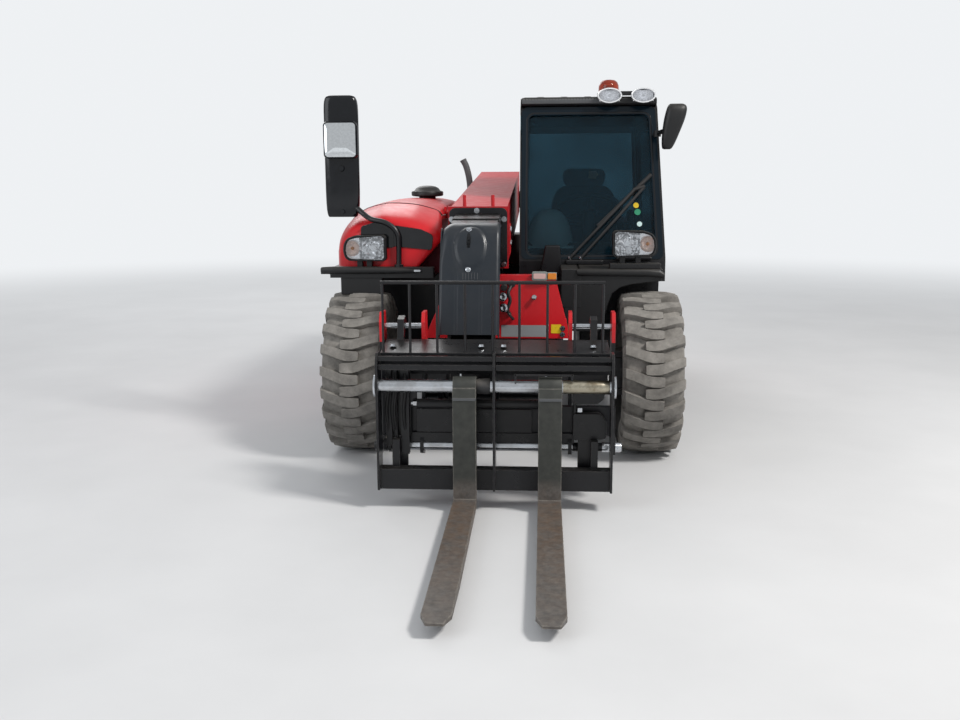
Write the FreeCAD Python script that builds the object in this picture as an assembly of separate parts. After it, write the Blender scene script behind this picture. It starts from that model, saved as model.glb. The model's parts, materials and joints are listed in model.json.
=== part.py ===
import FreeCAD, Part
import math
import os
from FreeCAD import Vector

# Compact telehandler with a floating fork carriage, drawn in millimetres.
# +Z is up, the machine faces -Y, and +X is its left side, where the cab stands.
# Each piece is drawn with the front axle over y = 0. save() then moves it so that the
# origin lies on the ground, under the middle of the whole machine.

# Overall machine
WHEELBASE = 2300.0
HALF_TRACK = 752.5
REAR_END_Y = WHEELBASE + 550.0
HALF_WIDTH = 955.0
RUNNING_GAP = 5.0
FIT_GAP = 0.3

# Tyres and rims
TYRE_R = 420.0
TYRE_W = 305.0
TYRE_FACETS = 36
TREAD_W = 284.0
BEAD_R = 210.0
RIM_W = 236.0
RIM_WALL = 20.0
DISC_OFFSET = -28.0
DISC_T = 14.0
HUB_R = 85.0
HUB_CAP_R = 70.0
HUB_CAP_L = 59.0
SPINDLE_R = 30.0

# Axles and steering knuckles
AXLE_TUBE_R = 75.0
DIFF_R = 130.0
DIFF_X0 = 10.0
DIFF_X1 = 190.0
KINGPIN_X = HALF_TRACK - 142.5
KINGPIN_R = 22.0
KNUCKLE_R = 55.0
KNUCKLE_HALF_H = 80.0
YOKE_T = 30.0
YOKE_HALF_Y = 60.0
SPINDLE_HOUSING_R = 60.0

# Chassis
CHASSIS_X = 305.0
CHASSIS_T = 16.0
CHASSIS_FRONT_Y = -388.0
CHASSIS_REAR_Y = REAR_END_Y - 150.0
CHASSIS_Z0 = 400.0
CHASSIS_Z1 = 760.0
AXLE_SEAT_Z = 530.0
DECK_T = 12.0
LASHING_Y = -330.0
LASHING_Z = 715.0
LASHING_R = 22.0
HITCH_Y = REAR_END_Y - 35.0
HITCH_R = 16.5
HITCH_JAWS = (480.0, 600.0)
HITCH_JAW_T = 25.0
HITCH_PIN_GUIDE_R = 26.0
WEIGHT_X = 325.0
WEIGHT_Z0 = 460.0
WEIGHT_Z1 = 1010.0

# Boom: its long axis falls towards the front by BOOM_SLOPE when it is down
BOOM_X = -125.0
BOOM_SLOPE = 4.7
PIVOT_Y = WHEELBASE + 50.0
PIVOT_PIN_R = 30.0
BOOM_W = 290.0
BOOM_H = 300.0
BOOM_TOP = 196.0
BOOM_WALL = 8.0
BOOM_FRONT = -100.0 - PIVOT_Y
BOOM_REAR = 150.0
PAD_ROOM = 22.0
PAD_GAP = 0.5
INNER_TAIL = 70.0
INNER_NOSE = -290.0 - PIVOT_Y
NOSE_Z = 1063.687
PIVOT_Z = NOSE_Z - INNER_NOSE * math.sin(math.radians(BOOM_SLOPE))
TOWER_T = 25.0
TOWER_GAP = 10.0

# Boom head and the coupler that tilts on it
HEAD_PIN_Y = -720.0
HEAD_PIN_Z = 450.0
HEAD_PIN_R = 30.0
HEAD_PLATE_T = 15.0
HEAD_W = 220.0
COVER_W = 260.0
COVER_T = 14.0
COUPLER_X = 525.0
COUPLER_INNER_X = 335.0
COUPLER_T = 16.0
COUPLER_PIN_X0 = -330.0
COUPLER_PIN_X1 = 270.0
LOCK_Y = -900.0
LOCK_Z = 250.0
LOCK_R = 20.0
HOOK_Y = -750.0
HOOK_Z = 766.0
HOOK_R = 11.0

# Floating fork carriage and forks
CARRIAGE_X = 505.0
CARRIAGE_T = 10.0
FORK_PIVOT_Y = -1020.0
FORK_PIVOT_Z = 545.0
FORK_SHAFT_R = 28.5
FORK_SHAFT_X = 515.0
FORK_W = 100.0
FORK_T = 40.0
FORK_LENGTH = 1190.0
FORK_TOP_Z = 60.0
FORK_EYE_R = 45.0
SHANK_BACK_Y = -1040.0
FORK_XS = {"fork_right": -125.0, "fork_left": 238.0}
BACKREST_Z = 990.0
BACKREST_XS = [-448.0, -336.0, -224.0, -112.0, 0.0, 112.0, 224.0, 336.0, 448.0]
BACKREST_ROD_R = 5.0
SHELF_Y0 = -1000.0
SHELF_Z0 = 685.0
SHELF_Y1 = -812.0
SHELF_Z1 = 714.0

# Lift cylinder, from its foot on the chassis to its eye under the boom
LIFT_FOOT = (PIVOT_Y - 200.0, 450.0)
LIFT_EYE = (PIVOT_Y - 1100.0, PIVOT_Z - 280.0)
LIFT_BARREL_R = 55.0
LIFT_ROD_R = 30.0
LIFT_EYE_R = 38.0
LIFT_FOOT_R = 45.0
LIFT_PIN_R = 20.0
LIFT_EYE_W = 60.0

# Cab
CAB_X0 = 75.0
CAB_X1 = 865.0
CAB_LEAN = 50.0
CAB_WAIST_Z = 1000.0
CAB_TOP_Z = 1858.0
CAB_WALL = 35.0
CAB_CHASSIS_GAP = 6.0
CAB_STEP_Z = 780.0
CAB_PROFILE = [(250, 870), (250, 980), (420, 1800), (500, 1858), (1450, 1858),
               (1560, 1780), (1600, 1000), (1600, 620), (560, 620), (530, 870)]
DOOR_OUTLINE = [(612, 655), (612, 900), (362, 1000), (492, 1745), (1440, 1745),
                (1486, 1000), (1486, 655)]
DOOR_WINDOW = [(440, 1040), (555, 1700), (1395, 1700), (1436, 1040)]
DOOR_GAP = 6.0
HINGE_X = 877.0
HINGE_Y = 1495.0
HINGE_H = 35.0
HINGE_LEVELS = (690.0, 900.0)
GLASS_T = 6.0
GLASS_DEPTH = 12.0

# Engine side body, on the right of the boom
BODY_X0 = 50.0 - HALF_WIDTH
BODY_X1 = -360.0
BODY_WALL = 18.0
ARCH_Z = 930.0
SILL_Z = 450.0
BAY_Y0 = 560.0
BAY_Y1 = WHEELBASE - 540.0
LID_Y0 = 360.0
LID_Y1 = WHEELBASE - 450.0
LID_GAP = 6.0
INTAKE_Y = 1100.0
INTAKE_R = 100.0
LID_HINGE_X = -350.0
LID_HINGE_Z = 1236.0
LID_HINGES = (LID_Y0 + 160.0, LID_Y1 - 290.0)
DECK_Z = 930.0
BODY_TOP_Z = 1140.0
REAR_BODY_Y0 = 1630.0

MIDDLE_Y = (REAR_END_Y + SHANK_BACK_Y - FORK_T - FORK_LENGTH) / 2.0


def box(x0, x1, y0, y1, z0, z1):
    return Part.makeBox(x1 - x0, y1 - y0, z1 - z0, Vector(x0, y0, z0))


def prism(corners, along):
    loop = Part.makePolygon(corners + corners[:1])
    return Part.Face(loop).extrude(along)


def plate_yz(points, x0, x1):
    return prism([Vector(x0, y, z) for y, z in points], Vector(x1 - x0, 0, 0))


def plate_xz(points, y0, y1):
    return prism([Vector(x, y0, z) for x, z in points], Vector(0, y1 - y0, 0))


def plate_xy(points, z0, z1):
    return prism([Vector(x, y, z0) for x, y in points], Vector(0, 0, z1 - z0))


def rod(start, end, radius):
    along = Vector(*end) - Vector(*start)
    return Part.makeCylinder(radius, along.Length, Vector(*start), along)


def rod_x(y, z, radius, x0, x1):
    return rod((x0, y, z), (x1, y, z), radius)


def turned(profile, centre, mirrored=False):
    """Revolve (offset, radius) pairs about an axis along X through centre."""
    side = -1.0 if mirrored else 1.0
    points = [Vector(side * offset, 0, radius) for offset, radius in profile]
    solid = Part.Face(Part.makePolygon(points + points[:1])).revolve(Vector(), Vector(1, 0, 0), 360)
    solid.translate(Vector(*centre))
    return solid


def join(*shapes):
    whole = shapes[0].multiFuse(list(shapes[1:])) if len(shapes) > 1 else shapes[0]
    return whole.removeSplitter()


def inset(points, depth):
    """Move every side of a closed outline inwards by depth."""
    area = sum(a[0] * b[1] - b[0] * a[1] for a, b in zip(points, points[1:] + points[:1]))
    turn = 1.0 if area > 0 else -1.0
    sides = []
    for a, b in zip(points, points[1:] + points[:1]):
        run = math.hypot(b[0] - a[0], b[1] - a[1])
        normal = (-(b[1] - a[1]) / run * turn, (b[0] - a[0]) / run * turn)
        sides.append((normal, normal[0] * a[0] + normal[1] * a[1] + depth))
    moved = []
    for (n0, d0), (n1, d1) in zip(sides[-1:] + sides[:-1], sides):
        span = n0[0] * n1[1] - n0[1] * n1[0]
        moved.append(((d0 * n1[1] - d1 * n0[1]) / span, (n0[0] * d1 - n1[0] * d0) / span))
    return moved


def save(name, *shapes):
    solids = [solid for shape in shapes for solid in shape.Solids]
    whole = solids[0] if len(solids) == 1 else Part.makeCompound(solids)
    whole = whole.copy()
    whole.translate(Vector(0, -MIDDLE_Y, 0))
    for solid in whole.Solids:
        if not solid.isValid() or solid.Volume <= 0:
            print("bad solid in", name)
    whole.exportStep("parts/" + name + ".step")


def facet_ring(profile, facets):
    """A ring of flat faces round the X axis, with a flat one at the bottom."""
    step = 2.0 * math.pi / facets
    stretch = 1.0 / math.cos(step / 2.0)

    def corner(place, number):
        offset, radius = profile[place % len(profile)]
        angle = (number + 0.5) * step
        reach = radius * stretch
        return Vector(offset, reach * math.sin(angle), -reach * math.cos(angle))

    faces = []
    for number in range(facets):
        for place in range(len(profile)):
            quad = [corner(place, number), corner(place + 1, number),
                    corner(place + 1, number + 1), corner(place, number + 1)]
            faces.append(Part.Face(Part.makePolygon(quad + quad[:1])))
    return Part.makeSolid(Part.makeShell(faces))


def make_tyre(centre):
    half = TYRE_W / 2.0
    tread = TREAD_W / 2.0
    bead = RIM_W / 2.0 - 12.0
    # offset from the tyre's middle, radius
    profile = [(-bead, BEAD_R), (-half, BEAD_R + 75), (-half, TYRE_R - 60), (-tread, TYRE_R - 12),
               (-tread / 2, TYRE_R), (tread / 2, TYRE_R), (tread, TYRE_R - 12),
               (half, TYRE_R - 60), (half, BEAD_R + 75), (bead, BEAD_R)]
    tyre = facet_ring(profile, TYRE_FACETS)
    tyre.translate(Vector(*centre))
    return tyre


def make_rim(centre, is_right):
    seat = BEAD_R - FIT_GAP
    well = seat - RIM_WALL
    half = RIM_W / 2.0
    face = DISC_OFFSET + DISC_T
    bore = SPINDLE_R + FIT_GAP
    # offset towards the outside of the machine, radius
    profile = [(DISC_OFFSET - 20, bore), (DISC_OFFSET - 20, HUB_R), (DISC_OFFSET, HUB_R),
               (DISC_OFFSET, well), (-half, well), (-half, seat), (half, seat), (half, well),
               (face, well), (face, HUB_CAP_R), (face + HUB_CAP_L, HUB_CAP_R),
               (face + HUB_CAP_L, 0), (12, 0), (12, bore)]
    return turned(profile, centre, is_right)


def make_knuckle(side, axle_y):
    """Knuckle on its kingpin, with the spindle that carries the wheel."""
    x = side * KINGPIN_X
    z = TYRE_R
    shoulder = side * (HALF_TRACK + DISC_OFFSET - 20 - RUNNING_GAP)
    tip = side * (HALF_TRACK + 10)
    reach = KNUCKLE_HALF_H + RUNNING_GAP + YOKE_T
    return join(rod((x, axle_y, z - KNUCKLE_HALF_H), (x, axle_y, z + KNUCKLE_HALF_H), KNUCKLE_R),
                rod((x, axle_y, z - reach), (x, axle_y, z + reach), KINGPIN_R),
                rod((x, axle_y, z), (shoulder, axle_y, z), SPINDLE_HOUSING_R),
                rod((x, axle_y, z), (tip, axle_y, z), SPINDLE_R))


def make_axle(axle_y):
    """Axle beam with its differential, seats and a yoke at each end."""
    z = TYRE_R
    arm = KNUCKLE_HALF_H + RUNNING_GAP
    web_x = KINGPIN_X - KNUCKLE_R - 2 * RUNNING_GAP
    pieces = [rod_x(axle_y, z, AXLE_TUBE_R, -web_x + 10, web_x - 10),
              rod_x(axle_y, z, DIFF_R, DIFF_X0, DIFF_X1)]
    for side in (-1, 1):
        inner, outer = sorted((side * (web_x - 40), side * (KINGPIN_X + 45)))
        web_a, web_b = sorted((side * (web_x - 40), side * web_x))
        pieces.append(box(web_a, web_b, axle_y - YOKE_HALF_Y, axle_y + YOKE_HALF_Y,
                          z - arm - YOKE_T, z + arm + YOKE_T))
        for low in (z + arm, z - arm - YOKE_T):
            pieces.append(box(inner, outer, axle_y - YOKE_HALF_Y, axle_y + YOKE_HALF_Y,
                              low, low + YOKE_T))
        pad_a, pad_b = sorted((side * (CHASSIS_X - 110), side * CHASSIS_X))
        pieces.append(box(pad_a, pad_b, axle_y - 70, axle_y + 70, z, AXLE_SEAT_Z))
    axle = join(*pieces)
    for side in (-1, 1):
        x = side * KINGPIN_X
        axle = axle.cut(rod((x, axle_y, z - 200), (x, axle_y, z + 200), KINGPIN_R + FIT_GAP))
    return axle


def build_running_gear():
    # end of the machine, y of its axle
    for end, axle_y in (("front", 0.0), ("rear", WHEELBASE)):
        save(end + "_axle", make_axle(axle_y))
        for name, side in (("right", -1), ("left", 1)):
            centre = (side * HALF_TRACK, axle_y, TYRE_R)
            place = end + "_" + name
            save("tyre_" + place, make_tyre(centre))
            save("rim_" + place, make_rim(centre, side < 0))
            save("knuckle_" + place, make_knuckle(side, axle_y))


def build_chassis():
    """Two side plates with cross plates, axle seats, decks and the lift cylinder's foot."""
    outline = [(CHASSIS_FRONT_Y, 655), (CHASSIS_FRONT_Y, CHASSIS_Z1), (CHASSIS_REAR_Y, CHASSIS_Z1),
               (CHASSIS_REAR_Y, 440), (WHEELBASE + 190, 440), (WHEELBASE + 110, AXLE_SEAT_Z),
               (WHEELBASE - 110, AXLE_SEAT_Z), (WHEELBASE - 180, CHASSIS_Z0), (190, CHASSIS_Z0),
               (110, AXLE_SEAT_Z), (-110, AXLE_SEAT_Z), (-220, 560)]
    inside = CHASSIS_X - CHASSIS_T
    foot_y, foot_z = LIFT_FOOT
    cheek = LIFT_EYE_W / 2.0 + RUNNING_GAP
    pieces = [plate_yz(outline, -CHASSIS_X, -inside), plate_yz(outline, inside, CHASSIS_X)]
    # cross plates: y0, y1, z0, z1
    for y0, y1, z0, z1 in ((CHASSIS_FRONT_Y, CHASSIS_FRONT_Y + 14, 655, CHASSIS_Z1),
                           (560, 600, CHASSIS_Z0, 640), (1500, 1540, CHASSIS_Z0, 560),
                           (PIVOT_Y - 110, PIVOT_Y + 170, 600, 616),
                           (CHASSIS_REAR_Y - 40, CHASSIS_REAR_Y, 440, CHASSIS_Z1)):
        pieces.append(box(-inside, inside, y0, y1, z0, z1))
    pieces.append(box(-inside, 0, foot_y - 90, foot_y + 45, CHASSIS_Z0 - 15, CHASSIS_Z0))
    pieces.append(box(-CHASSIS_X, CHASSIS_X, CHASSIS_FRONT_Y, 1000, CHASSIS_Z1, CHASSIS_Z1 + DECK_T))
    pieces.append(box(-CHASSIS_X, CHASSIS_X, PIVOT_Y + 170, CHASSIS_REAR_Y, CHASSIS_Z1, CHASSIS_Z1 + DECK_T))
    for side in (-1, 1):
        x0, x1 = sorted((BOOM_X + side * cheek, BOOM_X + side * (cheek + 15)))
        pieces.append(plate_yz([(foot_y - 60, CHASSIS_Z0 - 5), (foot_y + 44, CHASSIS_Z0 - 5),
                                (foot_y + 40, foot_z + 40), (foot_y - 45, foot_z + 40)], x0, x1))
    pieces.append(rod_x(foot_y, foot_z, LIFT_PIN_R, BOOM_X - cheek - 22, BOOM_X + cheek + 22))
    frame = join(*pieces)
    save("chassis_frame", frame.cut(rod_x(LASHING_Y, LASHING_Z, LASHING_R, -400, 400)))

    nose = [(-345, 655), (375, 655), (375, 860), (270, 962), (-300, 962), (-345, 915)]
    save("front_panel", plate_xz(nose, CHASSIS_FRONT_Y - 14, CHASSIS_FRONT_Y))

    head = [(PIVOT_Y + 165, CHASSIS_Z1), (PIVOT_Y + 120, PIVOT_Z + 50), (PIVOT_Y + 70, PIVOT_Z + 100),
            (PIVOT_Y - 60, PIVOT_Z + 100), (PIVOT_Y - 120, PIVOT_Z + 50)]
    mast = [(PIVOT_Y - 270, CHASSIS_Z1)] + head
    stem = [(PIVOT_Y - 90, 616), (PIVOT_Y + 160, 616)] + head + [(PIVOT_Y - 150, CHASSIS_Z1)]
    edge = BOOM_W / 2.0 + TOWER_GAP
    stub = BOOM_W / 2.0 - BOOM_WALL + 1.0
    left = join(plate_yz(stem, BOOM_X + edge, BOOM_X + edge + TOWER_T),
                rod_x(PIVOT_Y, PIVOT_Z, PIVOT_PIN_R, BOOM_X + stub, BOOM_X + edge + TOWER_T + 10))
    right = join(plate_yz(mast, BOOM_X - edge - TOWER_T, BOOM_X - edge),
                 rod_x(PIVOT_Y, PIVOT_Z, PIVOT_PIN_R, BOOM_X - edge - TOWER_T - 10, BOOM_X - stub))
    save("boom_towers", left, right)

    weight = join(box(-WEIGHT_X, WEIGHT_X, CHASSIS_REAR_Y, REAR_END_Y, WEIGHT_Z0, WEIGHT_Z1),
                  box(-CHASSIS_X, CHASSIS_X, PIVOT_Y + 210, CHASSIS_REAR_Y, CHASSIS_Z1 + DECK_T, WEIGHT_Z1))
    low_z = WEIGHT_Z0 - 10
    bevel = [(REAR_END_Y - 60, low_z), (REAR_END_Y + 50, low_z), (REAR_END_Y + 50, low_z + 150)]
    weight = weight.cut(plate_yz(bevel, -WEIGHT_X - 10, WEIGHT_X + 10))
    weight = weight.cut(box(-90, 90, HITCH_Y - 45, REAR_END_Y + 10, 450, 800))
    for low in HITCH_JAWS:
        weight = weight.fuse(box(-60, 60, HITCH_Y - 46, REAR_END_Y - 5, low, low + HITCH_JAW_T))
    weight = weight.cut(rod((0, HITCH_Y, 400), (0, HITCH_Y, 790), HITCH_R))
    # hole that the hitch pin is dropped through from above
    weight = weight.cut(rod((0, HITCH_Y, 790), (0, HITCH_Y, WEIGHT_Z1 + 10), HITCH_PIN_GUIDE_R))
    save("counterweight", weight.removeSplitter())


def in_boom_frame(shape):
    """Tip a piece drawn level about the boom's pivot down by the boom's slope."""
    tipped = shape.copy()
    tipped.rotate(Vector(0, PIVOT_Y, PIVOT_Z), Vector(1, 0, 0), BOOM_SLOPE)
    return tipped


def boom_box(half_w, s0, s1, h0, h1):
    """Box on the boom's middle: s runs back from the pivot, h up from it."""
    return box(BOOM_X - half_w, BOOM_X + half_w, PIVOT_Y + s0, PIVOT_Y + s1, PIVOT_Z + h0, PIVOT_Z + h1)


def build_boom_outer():
    half = BOOM_W / 2.0
    low = BOOM_TOP - BOOM_H
    inner_half = half - BOOM_WALL - PAD_ROOM
    top = BOOM_TOP - BOOM_WALL - PAD_ROOM
    bottom = low + BOOM_WALL + PAD_ROOM
    tube = boom_box(half, BOOM_FRONT, BOOM_REAR, low, BOOM_TOP)
    tube = join(tube, boom_box(half + 8, BOOM_FRONT, BOOM_FRONT + 14, low - 8, BOOM_TOP + 8))
    for side in (-1, 1):
        tube = tube.fuse(rod_x(PIVOT_Y, PIVOT_Z, 62, BOOM_X + side * (half - 2),
                               BOOM_X + side * (half + TOWER_GAP - FIT_GAP)))
        # short posts on top of the mouth
        post_x = BOOM_X + side * 72
        tube = tube.fuse(rod((post_x, PIVOT_Y + BOOM_FRONT + 40, PIVOT_Z + BOOM_TOP - 2),
                             (post_x, PIVOT_Y + BOOM_FRONT + 40, PIVOT_Z + BOOM_TOP + 62), 9))
    tube = tube.cut(boom_box(half - BOOM_WALL, BOOM_FRONT - 10, BOOM_REAR - BOOM_WALL,
                             low + BOOM_WALL, BOOM_TOP - BOOM_WALL))
    tube = tube.cut(rod_x(PIVOT_Y, PIVOT_Z, PIVOT_PIN_R + FIT_GAP, BOOM_X - half - 40, BOOM_X + half + 40))
    # wear pads in the mouth, which the inner boom slides on
    pad = (BOOM_FRONT, BOOM_FRONT + 120)
    tube = tube.fuse(boom_box(70, pad[0], pad[1], top + PAD_GAP, BOOM_TOP - BOOM_WALL))
    tube = tube.fuse(boom_box(70, pad[0], pad[1], low + BOOM_WALL, bottom - PAD_GAP))
    for side in (-1, 1):
        x0, x1 = sorted((BOOM_X + side * (inner_half + PAD_GAP), BOOM_X + side * (half - BOOM_WALL)))
        tube = tube.fuse(box(x0, x1, PIVOT_Y + pad[0], PIVOT_Y + pad[1], PIVOT_Z - 30, PIVOT_Z + 120))
    tube = in_boom_frame(tube.removeSplitter())
    eye_y, eye_z = LIFT_EYE
    gap = LIFT_EYE_W / 2.0 + 2 * RUNNING_GAP
    for side in (-1, 1):
        x0, x1 = sorted((BOOM_X + side * gap, BOOM_X + side * (gap + 15)))
        lug = join(plate_yz([(eye_y - 70, eye_z + 82), (eye_y + 75, eye_z + 94), (eye_y + 30, eye_z),
                             (eye_y - 30, eye_z)], x0, x1), rod_x(eye_y, eye_z, 34, x0, x1))
        tube = tube.fuse(lug.cut(rod_x(eye_y, eye_z, LIFT_PIN_R, x0 - 5, x1 + 5)))
    save("boom_outer", tube.removeSplitter())


def build_boom_inner():
    half = BOOM_W / 2.0 - BOOM_WALL - PAD_ROOM
    top = BOOM_TOP - BOOM_WALL - PAD_ROOM
    low = BOOM_TOP - BOOM_H + BOOM_WALL + PAD_ROOM
    tube = boom_box(half, INNER_NOSE, INNER_TAIL, low, top)
    tube = tube.cut(boom_box(half - BOOM_WALL, INNER_NOSE - 10, INNER_TAIL - BOOM_WALL,
                             low + BOOM_WALL, top - BOOM_WALL))
    # wear pads at the tail, which slide on the walls of the outer boom
    tail = (INNER_TAIL - 120, INNER_TAIL)
    room = PAD_ROOM - PAD_GAP
    tube = tube.fuse(boom_box(60, tail[0], tail[1], top, top + room))
    tube = tube.fuse(boom_box(60, tail[0], tail[1], low - room, low))
    inner = in_boom_frame(tube.removeSplitter())
    save("boom_inner", inner)

    # boom head: side plates and a rear web, open to the front under its cover
    inner_y = PIVOT_Y + INNER_NOSE
    outline = [(inner_y, 1222), (-420, 1212), (-500, 1150), (-575, 950), (-650, 700),
               (-765, 480), (-770, 440), (-745, 405), (-700, 405), (-672, 440),
               (-560, 700), (-470, 900), (-435, 985), (inner_y, 992)]
    hollow = [(inner_y + 20, 1206), (-420, 1200), (-560, 1160), (-640, 950), (-720, 700),
              (-800, 470), (-800, 380), (-690, 380), (-690, 470), (-578, 700), (-488, 905),
              (-450, 1003), (inner_y + 20, 1008)]
    half_head = HEAD_W / 2.0
    head = plate_yz(outline, BOOM_X - half_head, BOOM_X + half_head)
    head = head.cut(plate_yz(hollow, BOOM_X - half_head + HEAD_PLATE_T, BOOM_X + half_head - HEAD_PLATE_T))
    head = head.cut(rod_x(HEAD_PIN_Y, HEAD_PIN_Z, HEAD_PIN_R + FIT_GAP, BOOM_X - 200, BOOM_X + 200))
    save("boom_head", head.cut(inner))

    face = [(-380, 1236), (-455, 1228), (-520, 1165), (-597, 950), (-672, 712), (-664, 700)]
    back = [(-652, 700), (-577, 951), (-502, 1152), (-430, 1213), (-380, 1215.5)]
    cover = plate_yz(face + back, BOOM_X - COVER_W / 2.0, BOOM_X + COVER_W / 2.0)
    save("head_cover", cover)


def build_lift_cylinder():
    (foot_y, foot_z), (eye_y, eye_z) = LIFT_FOOT, LIFT_EYE
    length = math.hypot(eye_y - foot_y, eye_z - foot_z)
    unit = ((eye_y - foot_y) / length, (eye_z - foot_z) / length)

    def at(distance):
        return (BOOM_X, foot_y + unit[0] * distance, foot_z + unit[1] * distance)

    half = LIFT_EYE_W / 2.0
    barrel = join(rod(at(62), at(length - 105), LIFT_BARREL_R), rod(at(0), at(80), 26),
                  rod_x(foot_y, foot_z, LIFT_FOOT_R, BOOM_X - half, BOOM_X + half))
    barrel = barrel.cut(rod(at(80), at(length), LIFT_ROD_R + PAD_GAP))
    barrel = barrel.cut(rod_x(foot_y, foot_z, LIFT_PIN_R + FIT_GAP, BOOM_X - 90, BOOM_X + 90))
    save("lift_barrel", barrel)
    ram = join(rod(at(90), at(length - 20), LIFT_ROD_R),
               rod_x(eye_y, eye_z, LIFT_EYE_R, BOOM_X - half, BOOM_X + half))
    ram = ram.cut(rod_x(eye_y, eye_z, LIFT_PIN_R, BOOM_X - 90, BOOM_X + 90))
    save("lift_rod", ram)


def build_coupler():
    """Tilting headstock: pin through the boom head, four ears, cross beam and lock pin."""
    ear = [(-790, 832), (-712, 832), (-700, 700), (-745, 470), (-800, 230), (-870, 205),
           (-925, 222), (-925, 275), (-880, 330), (-835, 450), (-800, 640), (-812, 790)]
    pieces = []
    for x in (-COUPLER_X, -COUPLER_INNER_X, COUPLER_INNER_X - COUPLER_T, COUPLER_X - COUPLER_T):
        pieces.append(plate_yz(ear, x, x + COUPLER_T))
    pieces.append(box(-COUPLER_X, COUPLER_X, -895, -860, 300, 430))
    pieces.append(box(-COUPLER_X, COUPLER_X, -832, -812, 560, 640))
    pieces.append(rod_x(HEAD_PIN_Y, HEAD_PIN_Z, HEAD_PIN_R, COUPLER_PIN_X0, COUPLER_PIN_X1))
    lug = [(-690, 420), (-690, 480), (-730, 500), (-815, 480), (-865, 430), (-865, 310), (-800, 330)]
    cheek = HEAD_W / 2.0 + RUNNING_GAP
    for x in (BOOM_X - cheek - 20, BOOM_X + cheek):
        pieces.append(plate_yz(lug, x, x + 20))
    for side in (-1, 1):
        x0, x1 = sorted((side * (COUPLER_INNER_X - 5), side * (COUPLER_X - 5)))
        pieces.append(rod_x(HOOK_Y, HOOK_Z, HOOK_R, x0, x1))
    pieces.append(rod_x(LOCK_Y, LOCK_Z, LOCK_R, -COUPLER_X - 15, COUPLER_X + 25))
    save("coupler", join(*pieces))


def build_carriage():
    side_plate = [(-1062, 90), (-985, 90), (-960, 300), (-960, 640), (-985, 690), (-1040, 690),
                  (-1062, 640)]
    pieces = []
    for x in (-CARRIAGE_X, -CARRIAGE_T / 2.0, CARRIAGE_X - CARRIAGE_T):
        pieces.append(plate_yz(side_plate, x, x + CARRIAGE_T))
    bar_front = SHANK_BACK_Y + FIT_GAP
    pieces.append(box(-CARRIAGE_X, CARRIAGE_X, bar_front, -975, 90, 180))
    shelf = [(SHELF_Y0, SHELF_Z0 - 12), (SHELF_Y0, SHELF_Z0), (SHELF_Y1, SHELF_Z1),
             (SHELF_Y1, SHELF_Z1 - 12)]
    pieces.append(plate_yz(shelf, -490, 490))
    pieces.append(box(-CARRIAGE_X, CARRIAGE_X, -985, -970, 605, 660))
    for side in (-1, 1):
        # hook over the coupler's upper shaft and foot round its lock pin
        x0, x1 = sorted((side * 415, side * 445))
        hook = [(-960, 640), (-960, 690), (-815, 713), (-790, 800), (-745, 812), (-715, 790),
                (-715, 762), (-738, 762), (-738, 780), (-764, 780), (-764, 745), (-790, 690)]
        pieces.append(plate_yz(hook, x0, x1))
        foot = plate_yz([(-990, 170), (-880, 195), (-868, 250), (-880, 285), (-985, 290)], x0, x1)
        pieces.append(foot.cut(rod_x(LOCK_Y, LOCK_Z, LOCK_R + FIT_GAP, x0 - 5, x1 + 5)))
        pieces.append(box(x0, x1, -1000, -960, 175, 300))
    frame = join(*pieces)
    frame = frame.cut(rod_x(FORK_PIVOT_Y, FORK_PIVOT_Z, FORK_SHAFT_R + FIT_GAP, -600, 600))
    frame = frame.cut(rod_x(HOOK_Y, HOOK_Z, HOOK_R + FIT_GAP, -600, 600))
    save("carriage_frame", frame)

    washer = [rod_x(FORK_PIVOT_Y, FORK_PIVOT_Z, 48, x, x + 8) for x in (-FORK_SHAFT_X, FORK_SHAFT_X - 8)]
    shaft = rod_x(FORK_PIVOT_Y, FORK_PIVOT_Z, FORK_SHAFT_R, -FORK_SHAFT_X, FORK_SHAFT_X)
    save("fork_shaft", join(shaft, *washer))

    rack = [rod_x(SHELF_Y0 + 14, BACKREST_Z - 6, 8, BACKREST_XS[0] - 15, BACKREST_XS[-1] + 15)]
    for x in BACKREST_XS:
        rack.append(rod((x, SHELF_Y0 + 14, SHELF_Z0), (x, SHELF_Y0 + 14, BACKREST_Z), BACKREST_ROD_R))
    save("backrest", join(*rack).cut(frame))


def build_forks():
    bottom = FORK_TOP_Z - FORK_T
    front = SHANK_BACK_Y - FORK_T
    tip = front - FORK_LENGTH
    side = [(SHANK_BACK_Y, FORK_PIVOT_Z), (SHANK_BACK_Y, bottom + 30), (SHANK_BACK_Y - 30, bottom),
            (tip + 350, bottom), (tip, FORK_TOP_Z - 14), (tip, FORK_TOP_Z - 4), (tip + 20, FORK_TOP_Z),
            (front, FORK_TOP_Z), (front, FORK_PIVOT_Z - 38), (front + 12, FORK_PIVOT_Z)]
    for name, x in FORK_XS.items():
        half = FORK_W / 2.0
        fork = join(plate_yz(side, x - half, x + half),
                    rod_x(FORK_PIVOT_Y, FORK_PIVOT_Z, FORK_EYE_R, x - half, x + half))
        fork = fork.cut(rod_x(FORK_PIVOT_Y, FORK_PIVOT_Z, FORK_SHAFT_R + FIT_GAP, x - 60, x + 60))
        for sign in (-1, 1):
            corner = [(x + sign * half, tip + 60), (x + sign * half * 0.6, tip),
                      (x + sign * half * 0.6, tip - 10), (x + sign * (half + 10), tip - 10),
                      (x + sign * (half + 10), tip + 60)]
            fork = fork.cut(plate_xy(corner, bottom - 5, FORK_TOP_Z + 5))
        save(name, fork)


def cab_side_x(z):
    """Outer face of the cab's side: upright below the waist, leaning in above it."""
    return CAB_X1 - CAB_LEAN * max(0.0, z - CAB_WAIST_Z) / (CAB_TOP_Z - CAB_WAIST_Z)


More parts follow.
